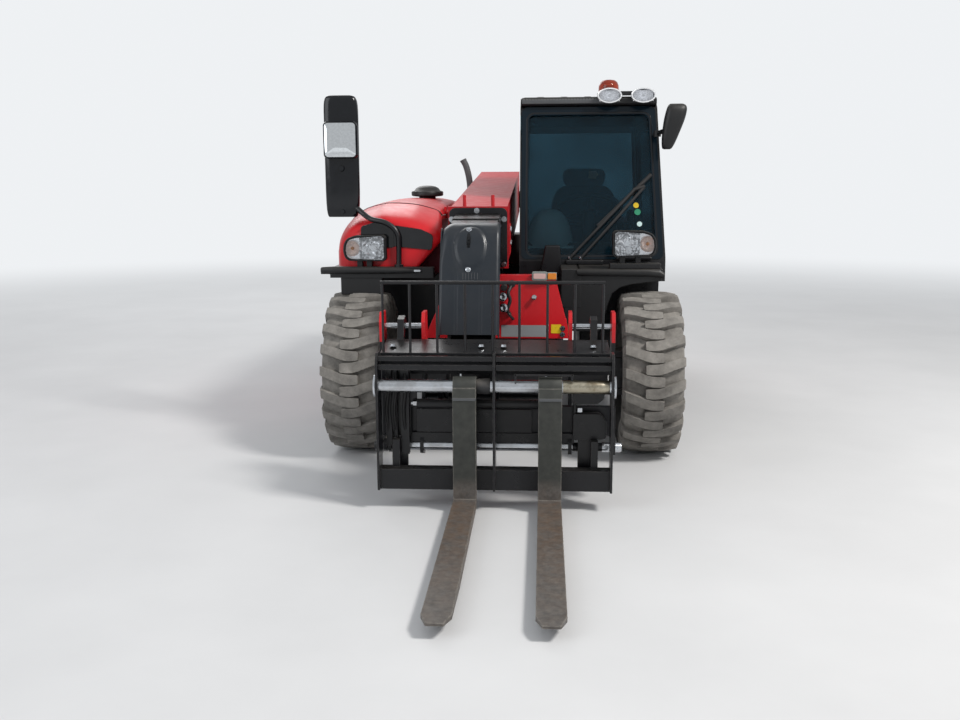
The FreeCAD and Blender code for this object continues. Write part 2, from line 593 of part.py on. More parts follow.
def cab_slab(depth0, depth1):
    """What lies between two depths in from the cab's outer side."""
    rows = (400.0, CAB_WAIST_Z, 2000.0)
    outer = [(cab_side_x(z) - depth0, z) for z in rows]
    inner = [(cab_side_x(z) - depth1, z) for z in reversed(rows)]
    return plate_xz(outer + inner, 0, 1800)


def front_face_y(z):
    (y0, z0), (y1, z1) = CAB_PROFILE[1], CAB_PROFILE[2]
    return y0 + (z - z0) * (y1 - y0) / (z1 - z0)


def rear_face_y(z):
    (y0, z0), (y1, z1) = CAB_PROFILE[6], CAB_PROFILE[5]
    return y0 + (z - z0) * (y1 - y0) / (z1 - z0)


def pane_slope(face_y, depth0, depth1, z0, z1):
    """Outline of a pane that follows a sloping end wall at some depth inside it."""
    return [(face_y(z0) + depth0, z0), (face_y(z0) + depth1, z0),
            (face_y(z1) + depth1, z1), (face_y(z1) + depth0, z1)]


def hinge_half(low, side):
    """Barrel of a door hinge with its leaf: side 1 lies on the cab, side -1 on the door."""
    y0, y1 = sorted((HINGE_Y, HINGE_Y + side * 50))
    barrel = rod((HINGE_X, HINGE_Y, low), (HINGE_X, HINGE_Y, low + HINGE_H), 10)
    return join(barrel, box(CAB_X1, CAB_X1 + 8, y0, y1, low, low + HINGE_H))


def cab_outside():
    """The cab's outer form, stepped up where it passes over the chassis."""
    whole = plate_yz(CAB_PROFILE, CAB_X0, CAB_X1).common(cab_slab(0, CAB_X1 - CAB_X0))
    return whole.cut(box(0, CHASSIS_X + CAB_CHASSIS_GAP, 0, 2000, 0, CAB_STEP_Z))


def roof_cap():
    cap = [(430, 1858), (400, 1862), (400, 1884), (440, 1890), (1480, 1892), (1530, 1858)]
    return plate_yz(cap, CAB_X0 + 5, cab_side_x(CAB_TOP_Z) - 2)


def build_cab():
    width = CAB_X1 - CAB_X0
    step_x = CHASSIS_X + CAB_CHASSIS_GAP
    shell = cab_outside()
    room = plate_yz(inset(CAB_PROFILE, CAB_WALL), CAB_X0 + CAB_WALL, CAB_X1)
    room = room.common(cab_slab(CAB_WALL, width))
    room = room.cut(box(0, step_x + CAB_WALL, 500, 1700, 0, CAB_STEP_Z + CAB_WALL))
    shell = shell.cut(room)
    # windows: end walls by their slope, the side wall towards the boom by its own outline
    front = (1015.0, 1765.0)
    rear = (1080.0, 1720.0)
    boom_side = [(390, 1080), (508, 1735), (1470, 1735), (1510, 1080)]
    frame_w = 40.0
    between = cab_slab(frame_w + 5, width - frame_w)
    shell = shell.cut(plate_yz(pane_slope(front_face_y, -60, 90, *front), CAB_X0, CAB_X1).common(between))
    shell = shell.cut(plate_yz(pane_slope(rear_face_y, -90, 60, *rear), CAB_X0, CAB_X1).common(between))
    shell = shell.cut(plate_yz(boom_side, CAB_X0 - 10, CAB_X0 + CAB_WALL + 10))
    doorway = inset(DOOR_OUTLINE, -DOOR_GAP)
    shell = shell.cut(plate_yz(doorway, CAB_X1 - 300, CAB_X1 + 10).common(cab_slab(-10, CAB_WALL + 20)))
    for low in HINGE_LEVELS:
        shell = shell.fuse(hinge_half(low, 1))
    save("cab_shell", shell.removeSplitter())

    snug = cab_slab(frame_w + 5 + FIT_GAP, width - frame_w - FIT_GAP)
    panes = []
    for face_y, sign, (z0, z1) in ((front_face_y, 1, front), (rear_face_y, -1, rear)):
        outline = pane_slope(face_y, sign * GLASS_DEPTH, sign * (GLASS_DEPTH + GLASS_T),
                             z0 + FIT_GAP, z1 - FIT_GAP)
        panes.append(plate_yz(outline, CAB_X0, CAB_X1).common(snug))
    panes.append(plate_yz(inset(boom_side, FIT_GAP), CAB_X0 + GLASS_DEPTH, CAB_X0 + GLASS_DEPTH + GLASS_T))
    save("cab_glass", *panes)

    door = plate_yz(DOOR_OUTLINE, CAB_X1 - 300, CAB_X1).common(cab_slab(0, CAB_WALL))
    door = door.cut(plate_yz(DOOR_WINDOW, CAB_X1 - 300, CAB_X1 + 10))
    for low in HINGE_LEVELS:
        door = door.fuse(hinge_half(low + HINGE_H + FIT_GAP, -1))
    save("cab_door", door.removeSplitter())
    glass = plate_yz(inset(DOOR_WINDOW, FIT_GAP), CAB_X1 - 300, CAB_X1)
    save("door_glass", glass.common(cab_slab(GLASS_DEPTH, GLASS_DEPTH + GLASS_T)))

    save("cab_roof", roof_cap())

    floor_z = CAB_PROFILE[7][1] + CAB_WALL
    middle = (CAB_X0 + CAB_X1) / 2.0
    tunnel_z = CAB_STEP_Z + CAB_WALL
    tunnel_x = CHASSIS_X + CAB_CHASSIS_GAP + CAB_WALL
    save("seat", join(box(tunnel_x, middle + 190, 1010, 1400, floor_z, tunnel_z + 1),
                      box(middle - 190, middle + 190, 1010, 1400, tunnel_z, 850),
                      box(middle - 235, middle + 235, 960, 1430, 850, 950),
                      plate_yz([(1350, 940), (1440, 940), (1520, 1480), (1450, 1480)],
                               middle - 225, middle + 225)))
    column = rod((middle, 640, floor_z - 10), (middle, 740, 1160), 38)
    wheel = Part.makeTorus(185, 15, Vector(middle, 752, 1200), Vector(0, 0.16, 0.987))
    hub = rod((middle, 735, 1130), (middle, 750, 1192), 45)
    spoke = box(middle - 185, middle + 185, 735, 765, 1186, 1200)
    save("steering_column", join(column.cut(box(0, 900, 500, 900, 0, floor_z)), wheel, hub, spoke))
    save("console", plate_yz([(300, 905), (300, 1000), (380, 1075), (470, 1060), (560, 960), (560, 905)],
                             CAB_X0 + CAB_WALL, cab_side_x(1000) - CAB_WALL - 60))

    # brackets from the chassis carry the cab, with a tank and steps under the door
    tank_end = WHEELBASE - 740
    rails = [box(CHASSIS_X, 860, y0, y0 + 60, 560, 620) for y0 in (640, tank_end - 120)]
    tank = box(420, 880, 600, tank_end, 330, 560)
    for z0 in (370, 475):
        tank = tank.cut(box(790, 900, 900, 1260, z0, z0 + 75))
    save("side_tank", join(tank, *rails))


def hood_section(x0, x1, low, top, shoulder, y):
    """Cross outline of the engine body at one y: upright sides and a bevelled shoulder."""
    drop = top - shoulder
    points = [(x1, low), (x1, top), (x0 + 1.9 * drop, top), (x0 + 0.75 * drop, top - 0.28 * drop),
              (x0 + 0.12 * drop, shoulder + 0.1 * drop), (x0, shoulder - 0.5 * drop), (x0, low)]
    corners = [Vector(x, y, z) for x, z in points]
    return Part.makePolygon(corners + corners[:1])


def hood_body(rows, wall, low):
    """Loft between rows of y, outer x, top and shoulder, drawn in by wall on every side."""
    parts = []
    for row_a, row_b in zip(rows, rows[1:]):
        wires = [hood_section(x0 + wall, BODY_X1 - wall, low, top - wall, shoulder - wall * 0.6, y)
                 for y, x0, top, shoulder in (row_a, row_b)]
        parts.append(Part.makeLoft(wires, True, True))
    return join(*parts)


def lid_hinge(y, side):
    """Half of a lid hinge: side 1 is the lid's barrel and leaf, side -1 the body's."""
    y0, y1 = (y, y + 60) if side > 0 else (y + 60 + FIT_GAP, y + 120)
    barrel = rod((LID_HINGE_X, y0, LID_HINGE_Z), (LID_HINGE_X, y1, LID_HINGE_Z), 8)
    z0, z1 = sorted((LID_HINGE_Z, LID_HINGE_Z + side * 34))
    return join(barrel, box(BODY_X1, LID_HINGE_X, y0, y1, z0, z1))


def build_engine_side():
    # y, outer x, top z, shoulder z
    nose = [(0, BODY_X0 + 55, 1165, 1060), (70, BODY_X0 + 25, 1205, 1095), (LID_Y0 - LID_GAP, BODY_X0, 1272, 1165)]
    hood = [(LID_Y0, BODY_X0, 1272, 1165), (700, BODY_X0, 1305, 1195), (LID_Y1 - 350, BODY_X0, 1318, 1205),
            (LID_Y1, BODY_X0, 1262, 1160)]
    solid = hood_body(nose, 0, ARCH_Z)
    room = [(BODY_WALL,) + tuple(nose[0][1:]), nose[1], nose[2]]
    hollow = hood_body(room, BODY_WALL, ARCH_Z - 10)
    hollow = hollow.fuse(box(BODY_X0 + 60, BODY_X1 - BODY_WALL, LID_Y0 - 60, LID_Y0 + 10, 920, 1150))
    save("hood_nose", solid.cut(hollow))

    skirt_z = 1002.0
    lid = hood_body(hood, 0, skirt_z)
    under = hood_body(hood, BODY_WALL, skirt_z - 10)
    lid = lid.cut(under).cut(box(BODY_X1 - BODY_WALL - 1, BODY_X1 + 10, LID_Y0 - 10, LID_Y1 + 10, 900, 1225))
    lid = lid.cut(box(BODY_X1 - BODY_WALL - 40, BODY_X1 + 10, LID_Y0 - 10, LID_Y1 + 10, 900, 1200))
    for y in LID_HINGES:
        lid = lid.fuse(lid_hinge(y, 1))
    save("hood_lid", lid.removeSplitter())

    side = [(BAY_Y0, SILL_Z), (BAY_Y1, SILL_Z), (BAY_Y1, ARCH_Z), (LID_Y1 + 3, ARCH_Z),
            (LID_Y1 + 3, skirt_z - 5), (LID_Y0, skirt_z - 5), (LID_Y0, ARCH_Z), (BAY_Y0, ARCH_Z)]
    outer = plate_yz(side, BODY_X0, BODY_X0 + BODY_WALL)
    # louvres of the engine bay: slots through the side panel
    for number in range(9):
        z0 = 560 + number * 38
        outer = outer.cut(box(BODY_X0 - 5, BODY_X0 + BODY_WALL + 5, 900, BAY_Y1 - 200, z0, z0 + 16))
    walls = [outer]
    for y0 in (BAY_Y0, BAY_Y1 - BODY_WALL):
        walls.append(box(BODY_X0 + 2, -CHASSIS_X, y0, y0 + BODY_WALL, SILL_Z, ARCH_Z))
    walls.append(box(BODY_X0 + 2, -CHASSIS_X, BAY_Y0, BAY_Y1, SILL_Z, SILL_Z + 12))
    walls.append(box(BODY_X1 - BODY_WALL, BODY_X1, LID_Y0, LID_Y1, 772, 1218))
    walls.append(box(BODY_X0 + 2, BODY_X1, LID_Y0, BAY_Y0 + BODY_WALL, ARCH_Z - 14, ARCH_Z))
    walls.append(box(BODY_X0 + 2, BODY_X1, BAY_Y1 - BODY_WALL, LID_Y1 + 3, ARCH_Z - 14, ARCH_Z))
    walls.append(box(BODY_X1 - BODY_WALL, -CHASSIS_X + 5, BAY_Y0, BAY_Y1, 772, 784))
    walls += [lid_hinge(y, -1) for y in LID_HINGES]
    save("engine_bay", join(*walls))
    save("engine_block", box(BODY_X0 + 105, BODY_X1 - 60, BAY_Y0 + 100, BAY_Y1 - 160, SILL_Z + 12, 1150))

    # rain cap of the air intake, on the lid
    x = BODY_X0 + 350
    cap = join(rod((x, INTAKE_Y, 1280), (x, INTAKE_Y, 1365), 45), rod((x, INTAKE_Y, 1345), (x, INTAKE_Y, 1388), INTAKE_R))
    save("air_intake", cap.cut(hood_body(hood, 0, skirt_z)))


def build_rear_body():
    rear = REAR_END_Y - 20
    for name, x0, x1, y0 in (("rear_body_right", BODY_X0, -335.0, LID_Y1 + 8),
                             ("rear_body_left", 335.0, -BODY_X0, REAR_BODY_Y0)):
        outline = [(y0, ARCH_Z), (y0, BODY_TOP_Z), (rear - 160, BODY_TOP_Z), (rear, BODY_TOP_Z - 100),
                   (rear, ARCH_Z)]
        body = plate_yz(outline, x0, x1)
        wall = BODY_WALL
        body = body.cut(plate_yz([(y0 + wall, ARCH_Z - 5), (y0 + wall, BODY_TOP_Z - wall),
                                  (rear - 166, BODY_TOP_Z - wall), (rear - wall, BODY_TOP_Z - 110),
                                  (rear - wall, ARCH_Z - 5)], x0 + wall, x1 - wall))
        body = body.fuse(box(x0, x1, REAR_END_Y - 120, rear, ARCH_Z, ARCH_Z + wall)).removeSplitter()
        inner = x1 if x0 < 0 else x0
        reach = sorted((inner, math.copysign(CHASSIS_X, inner)))
        y0, y1 = CHASSIS_REAR_Y - 140, CHASSIS_REAR_Y - 60
        bracket = join(box(reach[0], reach[1], y0, y1, 700, 960), box(x0, x1, y0, y1, ARCH_Z, 960))
        save(name, join(body, bracket))
    # shelf between the cab and the left chassis plate, over the transmission
    save("rear_deck", box(70, 335, REAR_BODY_Y0, PIVOT_Y + 170, DECK_Z, DECK_Z + 18))
    lamps = []
    for side in (-1, 1):
        x0, x1 = sorted((side * (HALF_WIDTH - 255), side * (HALF_WIDTH - 95)))
        lamps.append(box(x0, x1, rear, rear + 20, 950, 1020))
    save("tail_lights", *lamps)


def build_front_guards():
    """Mudguards over the front wheels with their lips, and the lamps that stand on them."""
    right = [(-HALF_WIDTH, 935), (-HALF_WIDTH, 958), (BODY_X0 + 25, 972), (BODY_X1, 972), (BODY_X1, 935)]
    guard = plate_xz(right, -60, 0)
    guard = guard.fuse(box(-HALF_WIDTH, BODY_X0, 0, BAY_Y0, 935, 950))
    guard = guard.fuse(box(BODY_X0, BODY_X1, 0, LID_Y0 - LID_GAP, ARCH_Z - 14, ARCH_Z))
    guard = guard.fuse(box(BODY_X0, BODY_X1, -60, 0, ARCH_Z - 14, 940))
    guard = guard.removeSplitter()
    save("front_guard_right", guard)
    left = box(380, -BODY_X0, -60, 248, 930, 962)
    left = left.fuse(box(CHASSIS_X - CHASSIS_T, 400, -60, 240, CHASSIS_Z1 + DECK_T, 962))
    save("front_guard_left", left.removeSplitter())

    lamps = []
    for x0, x1 in ((BODY_X0 + 55, BODY_X0 + 290), (560.0, 800.0)):
        lamps.append(box(x0, x1, -45, 30 if x0 > 0 else -2, 985, 1150))
    foot = [box(BODY_X0 + 105, BODY_X0 + 245, -45, -2, 972, 986), box(600, 760, -40, 30, 962, 986)]
    save("headlights", join(lamps[0], foot[0]), join(lamps[1], foot[1]))
    return guard


def build_top_lamps():
    units = []
    for x in (555.0, 735.0):
        body = rod((x, 330, 1858), (x, 390, 1858), 40)
        squeeze = FreeCAD.Matrix()
        squeeze.A11 = 1.65
        body.translate(Vector(-x, 0, 0))
        body = body.transformGeometry(squeeze)
        body.translate(Vector(x, 0, 0))
        units.append(body)
    bar = join(box(520, 770, 386, 400, 1862, 1884), *units)
    save("work_lights", bar)
    beacon = join(rod((570, 800, 1880), (570, 800, 1912), 66), rod((570, 800, 1912), (570, 800, 1958), 58),
                  Part.makeSphere(58, Vector(570, 800, 1940)).common(box(500, 640, 730, 870, 1940, 1980)))
    save("beacon", beacon.cut(roof_cap()))


def build_mirrors(guard):
    # tube that rises from the guard's top and arches over the lamp to the mirror
    route = [(-588, -30, 972), (-592, -30, 1140), (-625, -26, 1196), (-700, -5, 1236), (-800, 45, 1268)]
    tube = [rod(a, b, 13) for a, b in zip(route, route[1:])]
    tube += [Part.makeSphere(13, Vector(*bend)) for bend in route[1:-1]]
    plate = plate_xz([(-925, 1255), (-750, 1240), (-748, 1800), (-790, 1845), (-905, 1840), (-928, 1800)], 30, 85)
    glass = plate_xz([(-905, 1530), (-765, 1530), (-765, 1710), (-905, 1710)], 4, 30)
    save("mirror_right", join(plate, glass, *tube).cut(guard))
    bracket = rod((800, 432, 1650), (835, 250, 1650), 12).cut(cab_outside())
    housing = plate_xz([(805, 1570), (938, 1560), (HALF_WIDTH, 1600), (HALF_WIDTH, 1760), (935, 1790),
                        (830, 1790), (805, 1760)], 205, 262)
    save("mirror_left", join(bracket, housing))


os.makedirs("parts", exist_ok=True)
build_running_gear()
build_chassis()
build_boom_outer()
build_boom_inner()
build_lift_cylinder()
build_coupler()
build_carriage()
build_forks()
build_cab()
build_engine_side()
build_rear_body()
right_guard = build_front_guards()
build_top_lamps()
build_mirrors(right_guard)
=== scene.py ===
import json
import math
import random

import bmesh
import bpy
from mathutils import Matrix, Vector


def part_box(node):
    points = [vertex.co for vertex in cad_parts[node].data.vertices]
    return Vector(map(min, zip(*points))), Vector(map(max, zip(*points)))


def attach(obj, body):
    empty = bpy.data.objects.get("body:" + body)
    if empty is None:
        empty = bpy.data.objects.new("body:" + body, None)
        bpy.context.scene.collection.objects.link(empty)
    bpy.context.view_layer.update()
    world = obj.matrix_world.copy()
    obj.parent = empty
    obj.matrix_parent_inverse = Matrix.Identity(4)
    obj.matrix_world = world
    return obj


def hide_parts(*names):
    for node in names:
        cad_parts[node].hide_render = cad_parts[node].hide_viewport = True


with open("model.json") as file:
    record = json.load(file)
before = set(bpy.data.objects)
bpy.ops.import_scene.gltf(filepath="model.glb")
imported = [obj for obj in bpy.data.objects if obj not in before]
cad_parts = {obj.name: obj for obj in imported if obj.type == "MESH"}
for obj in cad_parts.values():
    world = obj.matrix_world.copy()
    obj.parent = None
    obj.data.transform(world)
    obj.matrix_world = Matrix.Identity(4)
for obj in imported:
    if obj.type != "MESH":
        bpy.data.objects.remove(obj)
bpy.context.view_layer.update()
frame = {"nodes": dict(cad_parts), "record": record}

# Compact telescopic handler. Lengths are metres, +Z is up, the machine faces -Y and +X is
# its left side with the cab. AXLE_Y is the front axle's place, from which lengths are given.
WHEEL_LOW, WHEEL_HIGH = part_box("tyre_front_left")
AXLE_Y = (WHEEL_LOW.y + WHEEL_HIGH.y) / 2
WHEEL_R = (WHEEL_HIGH.z - WHEEL_LOW.z) / 2
WHEEL_W = WHEEL_HIGH.x - WHEEL_LOW.x
BOOM_X = -0.125
random.seed(7)


def at(x, y, z):
    """Point from its distances to the machine's middle plane, the front axle and the ground."""
    return Vector((x, y + AXLE_Y, z))


def spot(point):
    """A tuple is measured from the axle, a Vector is a place as it is."""
    return point if isinstance(point, Vector) else at(*point)


# Materials

def scaled(colour, factor):
    return tuple(min(1.0, c * factor) for c in colour)


class Surface:
    """The nodes of a material or a world, whose inputs are values or the sockets of other nodes."""

    def __init__(self, owner):
        owner.use_nodes = True
        self.owner = owner
        self.tree = owner.node_tree
        self.shader = self.tree.nodes.get("Principled BSDF") or self.tree.nodes["Background"]

    def fill(self, socket, value):
        if isinstance(value, bpy.types.NodeSocket):
            self.tree.links.new(value, socket)
        elif isinstance(value, tuple) and socket.type == "RGBA":
            socket.default_value = (*value[:3], 1.0)
        else:
            socket.default_value = value

    def put(self, **inputs):
        """Set the main shader's inputs; an underscore stands for a space."""
        for name, value in inputs.items():
            self.fill(self.shader.inputs[name.replace("_", " ")], value)
        return self.owner

    def node(self, kind, settings=None, **inputs):
        made = self.tree.nodes.new("ShaderNode" + kind)
        for key, value in (settings or {}).items():
            setattr(made, key, value)
        for key, value in inputs.items():
            self.fill(made.inputs[int(key[1:]) if key[1:].isdigit() else key], value)
        return made

    def place(self):
        return self.node("TexCoord").outputs["Object"]

    def part(self, axis, vector=None):
        """One coordinate of the place on the piece at rest, or of another vector."""
        return self.node("SeparateXYZ", Vector=vector or self.place()).outputs[axis]

    def geometry(self, output, axis):
        return self.part(axis, self.node("NewGeometry").outputs[output])

    def noise(self, scale, detail=4.0, roughness=0.55, where=None):
        return self.node("TexNoise", Vector=where or self.place(), Scale=scale, Detail=detail, Roughness=roughness).outputs["Fac"]

    def ramp(self, value, *stops):
        """Grey or colour levels by value: each stop is (position, level or colour)."""
        made = self.node("ValToRGB", Fac=value)
        marks = made.color_ramp.elements
        while len(marks) < len(stops):
            marks.new(0.5)
        for mark, (position, level) in zip(marks, stops):
            mark.position = position
            mark.color = (*(level if isinstance(level, tuple) else (level,) * 3), 1.0)
        return made.outputs["Color"]

    def mottle(self, scale, detail, roughness, *stops):
        return self.ramp(self.noise(scale, detail, roughness), *stops)

    def mix(self, share, first, second):
        return self.node("Mix", {"data_type": "RGBA"}, i0=share, i6=first, i7=second).outputs[2]

    def maths(self, operation, first, second=0.0):
        return self.node("Math", {"operation": operation, "use_clamp": True}, i0=first, i1=second).outputs[0]

    def times(self, first, *factors):
        for factor in factors:
            first = self.maths("MULTIPLY", first, factor)
        return first

    def between(self, value, low, high):
        return self.times(self.maths("GREATER_THAN", value, low), self.maths("LESS_THAN", value, high))

    def spread(self, value, low, high):
        """0 to 1 as the value goes from low to high."""
        return self.node("MapRange", Value=value, i1=low, i2=high).outputs["Result"]

    def bump(self, height, strength, distance):
        return self.node("Bump", Height=height, Strength=strength, Distance=distance).outputs["Normal"]

    def wave(self, direction, scale):
        return self.node("TexWave", {"bands_direction": direction}, Vector=self.place(), Scale=scale).outputs["Fac"]

    def edge_wear(self, radius):
        """1 along sharp edges, from the angle between the true and a rounded normal."""
        rounded_off = self.node("Bevel", {"samples": 4}, Radius=radius).outputs["Normal"]
        dot = self.node("VectorMath", {"operation": "DOT_PRODUCT"}, i0=rounded_off,
                        i1=self.node("NewGeometry").outputs["Normal"]).outputs["Value"]
        return self.times(self.maths("SUBTRACT", 1.0, dot), 6.0)

    def tone(self):
        return self.shader.inputs["Base Color"].links[0].from_socket

    def blend_output(self, share, first, second):
        """Show a share of the second shader over the first."""
        joined = self.node("MixShader", Fac=share, i1=first, i2=second)
        self.tree.links.new(joined.outputs[0], self.tree.nodes["Material Output"].inputs["Surface"])


def coated(s, colour, roughness, coat=0.0, dust=0.1, grain=0.06, worn=None, specular=0.5):
    """Painted or moulded surface with mottled gloss, dust on what faces up and worn edges."""
    tone = s.mottle(3.5, 6.0, 0.55, (0.25, scaled(colour, 0.88)), (0.8, scaled(colour, 1.1)))
    settled = s.times(s.geometry("Normal", "Z"), dust, s.mottle(9.0, 8.0, 0.7, (0.3, 0.25), (0.75, 1.0)))
    tone = s.mix(settled, tone, (0.36, 0.32, 0.27))
    if worn:
        share = s.times(s.edge_wear(0.004), s.mottle(38.0, 8.0, 0.75, (0.42, 0.0), (0.6, 1.0)))
        tone = s.mix(share, tone, worn)
    rough = s.mottle(22.0, 6.0, 0.65, (0.3, max(0.02, roughness - 0.05)), (0.75, min(1.0, roughness + 0.1)))
    s.put(Base_Color=tone, Roughness=rough, Normal=s.bump(s.noise(160.0, 3.0), grain, 0.0006),
          Coat_Weight=coat, Coat_Roughness=0.06, Specular_IOR_Level=specular)


def body_red(s, colour):
    """Glossy red, with painted shade: black on the closed inside of the engine bay, and dark red on its inner wall and
    behind the nose's inner edge, where shade falls.
    """
    coated(s, colour, 0.33, coat=0.05, dust=0.025, grain=0.03, specular=0.27)
    tone = s.tone()
    # painted shade: boxes on the machine inside which the red turns black or dark red, where the bay and the nose lie
    # in shadow
    for low, high, inside in (((-0.893, 0.40, 0.40), (-0.30, 1.90, 0.985), (0.006, 0.006, 0.007)),
                              ((-0.40, 0.37, 0.985), (-0.345, 1.90, 1.20), (0.075, 0.008, 0.014)),
                              ((-0.52, 0.02, 0.90), (-0.325, 0.362, 1.095), (0.075, 0.008, 0.014))):
        share = [s.between(s.geometry("Position", axis), start, end)
                 for axis, start, end in zip("XYZ", at(*low), at(*high))]
        tone = s.mix(s.times(*share), tone, inside)
    s.put(Base_Color=tone)


def ear_red(s, colour, low_colour, split_z):
    """Red above a height on the piece at rest, and black below it."""
    coated(s, colour, 0.31, coat=0.10, dust=0.05, grain=0.05, worn=(0.10, 0.07, 0.07), specular=0.34)
    s.put(Base_Color=s.mix(s.maths("LESS_THAN", s.part("Z"), split_z), s.tone(), low_colour))


def metal(s, colour, roughness, grime=0.3, grime_colour=(0.08, 0.06, 0.045), stretch=(1.0, 1.0, 1.0)):
    """Bare metal with drawn streaks and patches of grease."""
    lines = s.noise(90.0, 5.0, 0.7, s.node("Mapping", Vector=s.place(), Scale=stretch).outputs["Vector"])
    patch = s.times(s.mottle(11.0, 8.0, 0.7, (0.45, 0.0), (0.62, 1.0)), grime)
    tone = s.mix(patch, s.ramp(lines, (0.3, scaled(colour, 0.8)), (0.7, colour)), grime_colour)
    s.put(Base_Color=tone, Roughness=s.ramp(lines, (0.2, roughness * 0.7), (0.8, roughness * 1.5)),
          Normal=s.bump(lines, 0.12, 0.0004), Metallic=1.0)


def bowl_metal(s, colour, roughness, grime, share, glow):
    """Moulded reflector, part mirror and part pale plastic; the glow is painted light, an emission that stands for the
    sky light its bowl gathers.
    """
    metal(s, colour, roughness, grime)
    s.put(Metallic=share, Emission_Color=(0.93, 0.95, 1.0), Emission_Strength=glow)


def rubber(s):
    """Tyre rubber: dark in the grooves, with pale dust worn into everything that stands out."""
    across = s.node("CombineXYZ", Y=s.part("Y"), Z=s.part("Z")).outputs["Vector"]
    radius = s.node("VectorMath", {"operation": "LENGTH"}, i0=across).outputs["Value"]
    share = s.times(s.spread(radius, WHEEL_R - 0.034, WHEEL_R - 0.004), s.mottle(14.0, 9.0, 0.72, (0.3, 0.35), (0.7, 1.0)), 0.74)
    base = s.mottle(30.0, 8.0, 0.7, (0.3, (0.017, 0.0165, 0.016)), (0.75, (0.050, 0.047, 0.043)))
    pits = s.maths("ADD", s.noise(420.0, 4.0), s.noise(70.0, 6.0, 0.7))
    s.put(Base_Color=s.mix(share, base, (0.385, 0.365, 0.335)), Roughness=0.88, Specular_IOR_Level=0.25,
          Normal=s.bump(pits, 0.35, 0.0012))


def glass(s, colour, share=0.5, behind=None, painted_sky_reflection=(0.0, 0.0, 0.0)):
    """Tinted pane: a share of plain see-through tint and a glossy skin. behind is the tint
    of the panes at the sides and farther back than the windscreen."""
    tint = colour
    if behind:
        cloudy = s.mottle(3.0, 5.0, 0.55, (0.3, scaled(behind, 0.7)), (0.75, scaled(behind, 1.35)))
        side = s.node("Math", {"operation": "ABSOLUTE"}, i0=s.geometry("Normal", "X")).outputs[0]
        back = s.maths("GREATER_THAN", s.geometry("Position", "Y"), AXLE_Y + 0.60)
        tint = s.mix(s.maths("MAXIMUM", back, s.maths("GREATER_THAN", side, 0.7)), colour, cloudy)
    # the skin's base colour is a painted reflection: a dark blue that stands for the sky mirrored in the glass
    s.put(Base_Color=painted_sky_reflection, Roughness=s.mottle(5.0, 7.0, 0.7, (0.35, 0.015), (0.8, 0.10)))
    skin = s.maths("ADD", s.node("Fresnel", IOR=1.52).outputs["Fac"], share)
    s.blend_output(skin, s.node("BsdfTransparent", Color=tint).outputs["BSDF"], s.shader.outputs["BSDF"])


def lens(s, colour, clear=0.5):
    """Clear or coloured lamp lens."""
    s.put(Base_Color=s.mottle(8.0, 4.0, 0.55, (0.3, scaled(colour, 0.9)), (0.8, colour)), Roughness=0.05,
          Transmission_Weight=clear, IOR=1.45)


def forged(s):
    """Fork steel: rusty blade, dark painted shank, bright where loads rub the edges."""
    along = s.spread(s.part("Y"), AXLE_Y - 2.27, AXLE_Y - 1.05)
    rust_zone = s.ramp(along, (0.0, 0.15), (0.3, 0.35), (0.72, 0.7), (0.93, 0.6), (1.0, 0.0))
    rust = s.times(rust_zone, s.mottle(16.0, 10.0, 0.75, (0.36, 0.1), (0.66, 1.0)))
    steel = s.mottle(45.0, 8.0, 0.7, (0.3, (0.055, 0.053, 0.052)), (0.75, (0.13, 0.122, 0.115)))
    tone = s.mix(rust, steel, (0.15, 0.085, 0.045))
    tone = s.mix(s.times(s.mottle(60.0, 6.0, 0.7, (0.4, 0.0), (0.7, 1.0)), 0.3), tone, (0.22, 0.195, 0.165))
    shank = s.mottle(24.0, 8.0, 0.65, (0.3, (0.026, 0.028, 0.025)), (0.75, (0.050, 0.052, 0.046)))
    tone = s.mix(s.spread(s.part("Z"), 0.10, 0.16), tone, shank)
    edge = s.times(s.edge_wear(0.006), s.mottle(30.0, 6.0, 0.55, (0.35, 0.2), (0.6, 1.0)))
    s.put(Base_Color=s.mix(edge, tone, (0.28, 0.26, 0.23)), Roughness=s.mottle(26.0, 6.0, 0.55, (0.3, 0.42), (0.7, 0.72)),
          Metallic=0.2, Normal=s.bump(s.noise(120.0, 8.0, 0.75), 0.3, 0.0012))


def upholstery(s):
    """Dark woven seat cloth."""
    cloth = s.times(s.wave("X", 260.0), s.wave("Z", 260.0))
    tone = s.mix(s.mottle(6.0, 6.0, 0.55, (0.3, 0.0), (0.8, 1.0)), (0.022, 0.023, 0.026), (0.045, 0.045, 0.048))
    s.put(Base_Color=tone, Roughness=0.85, Sheen_Weight=0.25, Normal=s.bump(cloth, 0.4, 0.0008))


RED = (0.56, 0.012, 0.018)
BLACK = (0.0055, 0.0058, 0.0075)
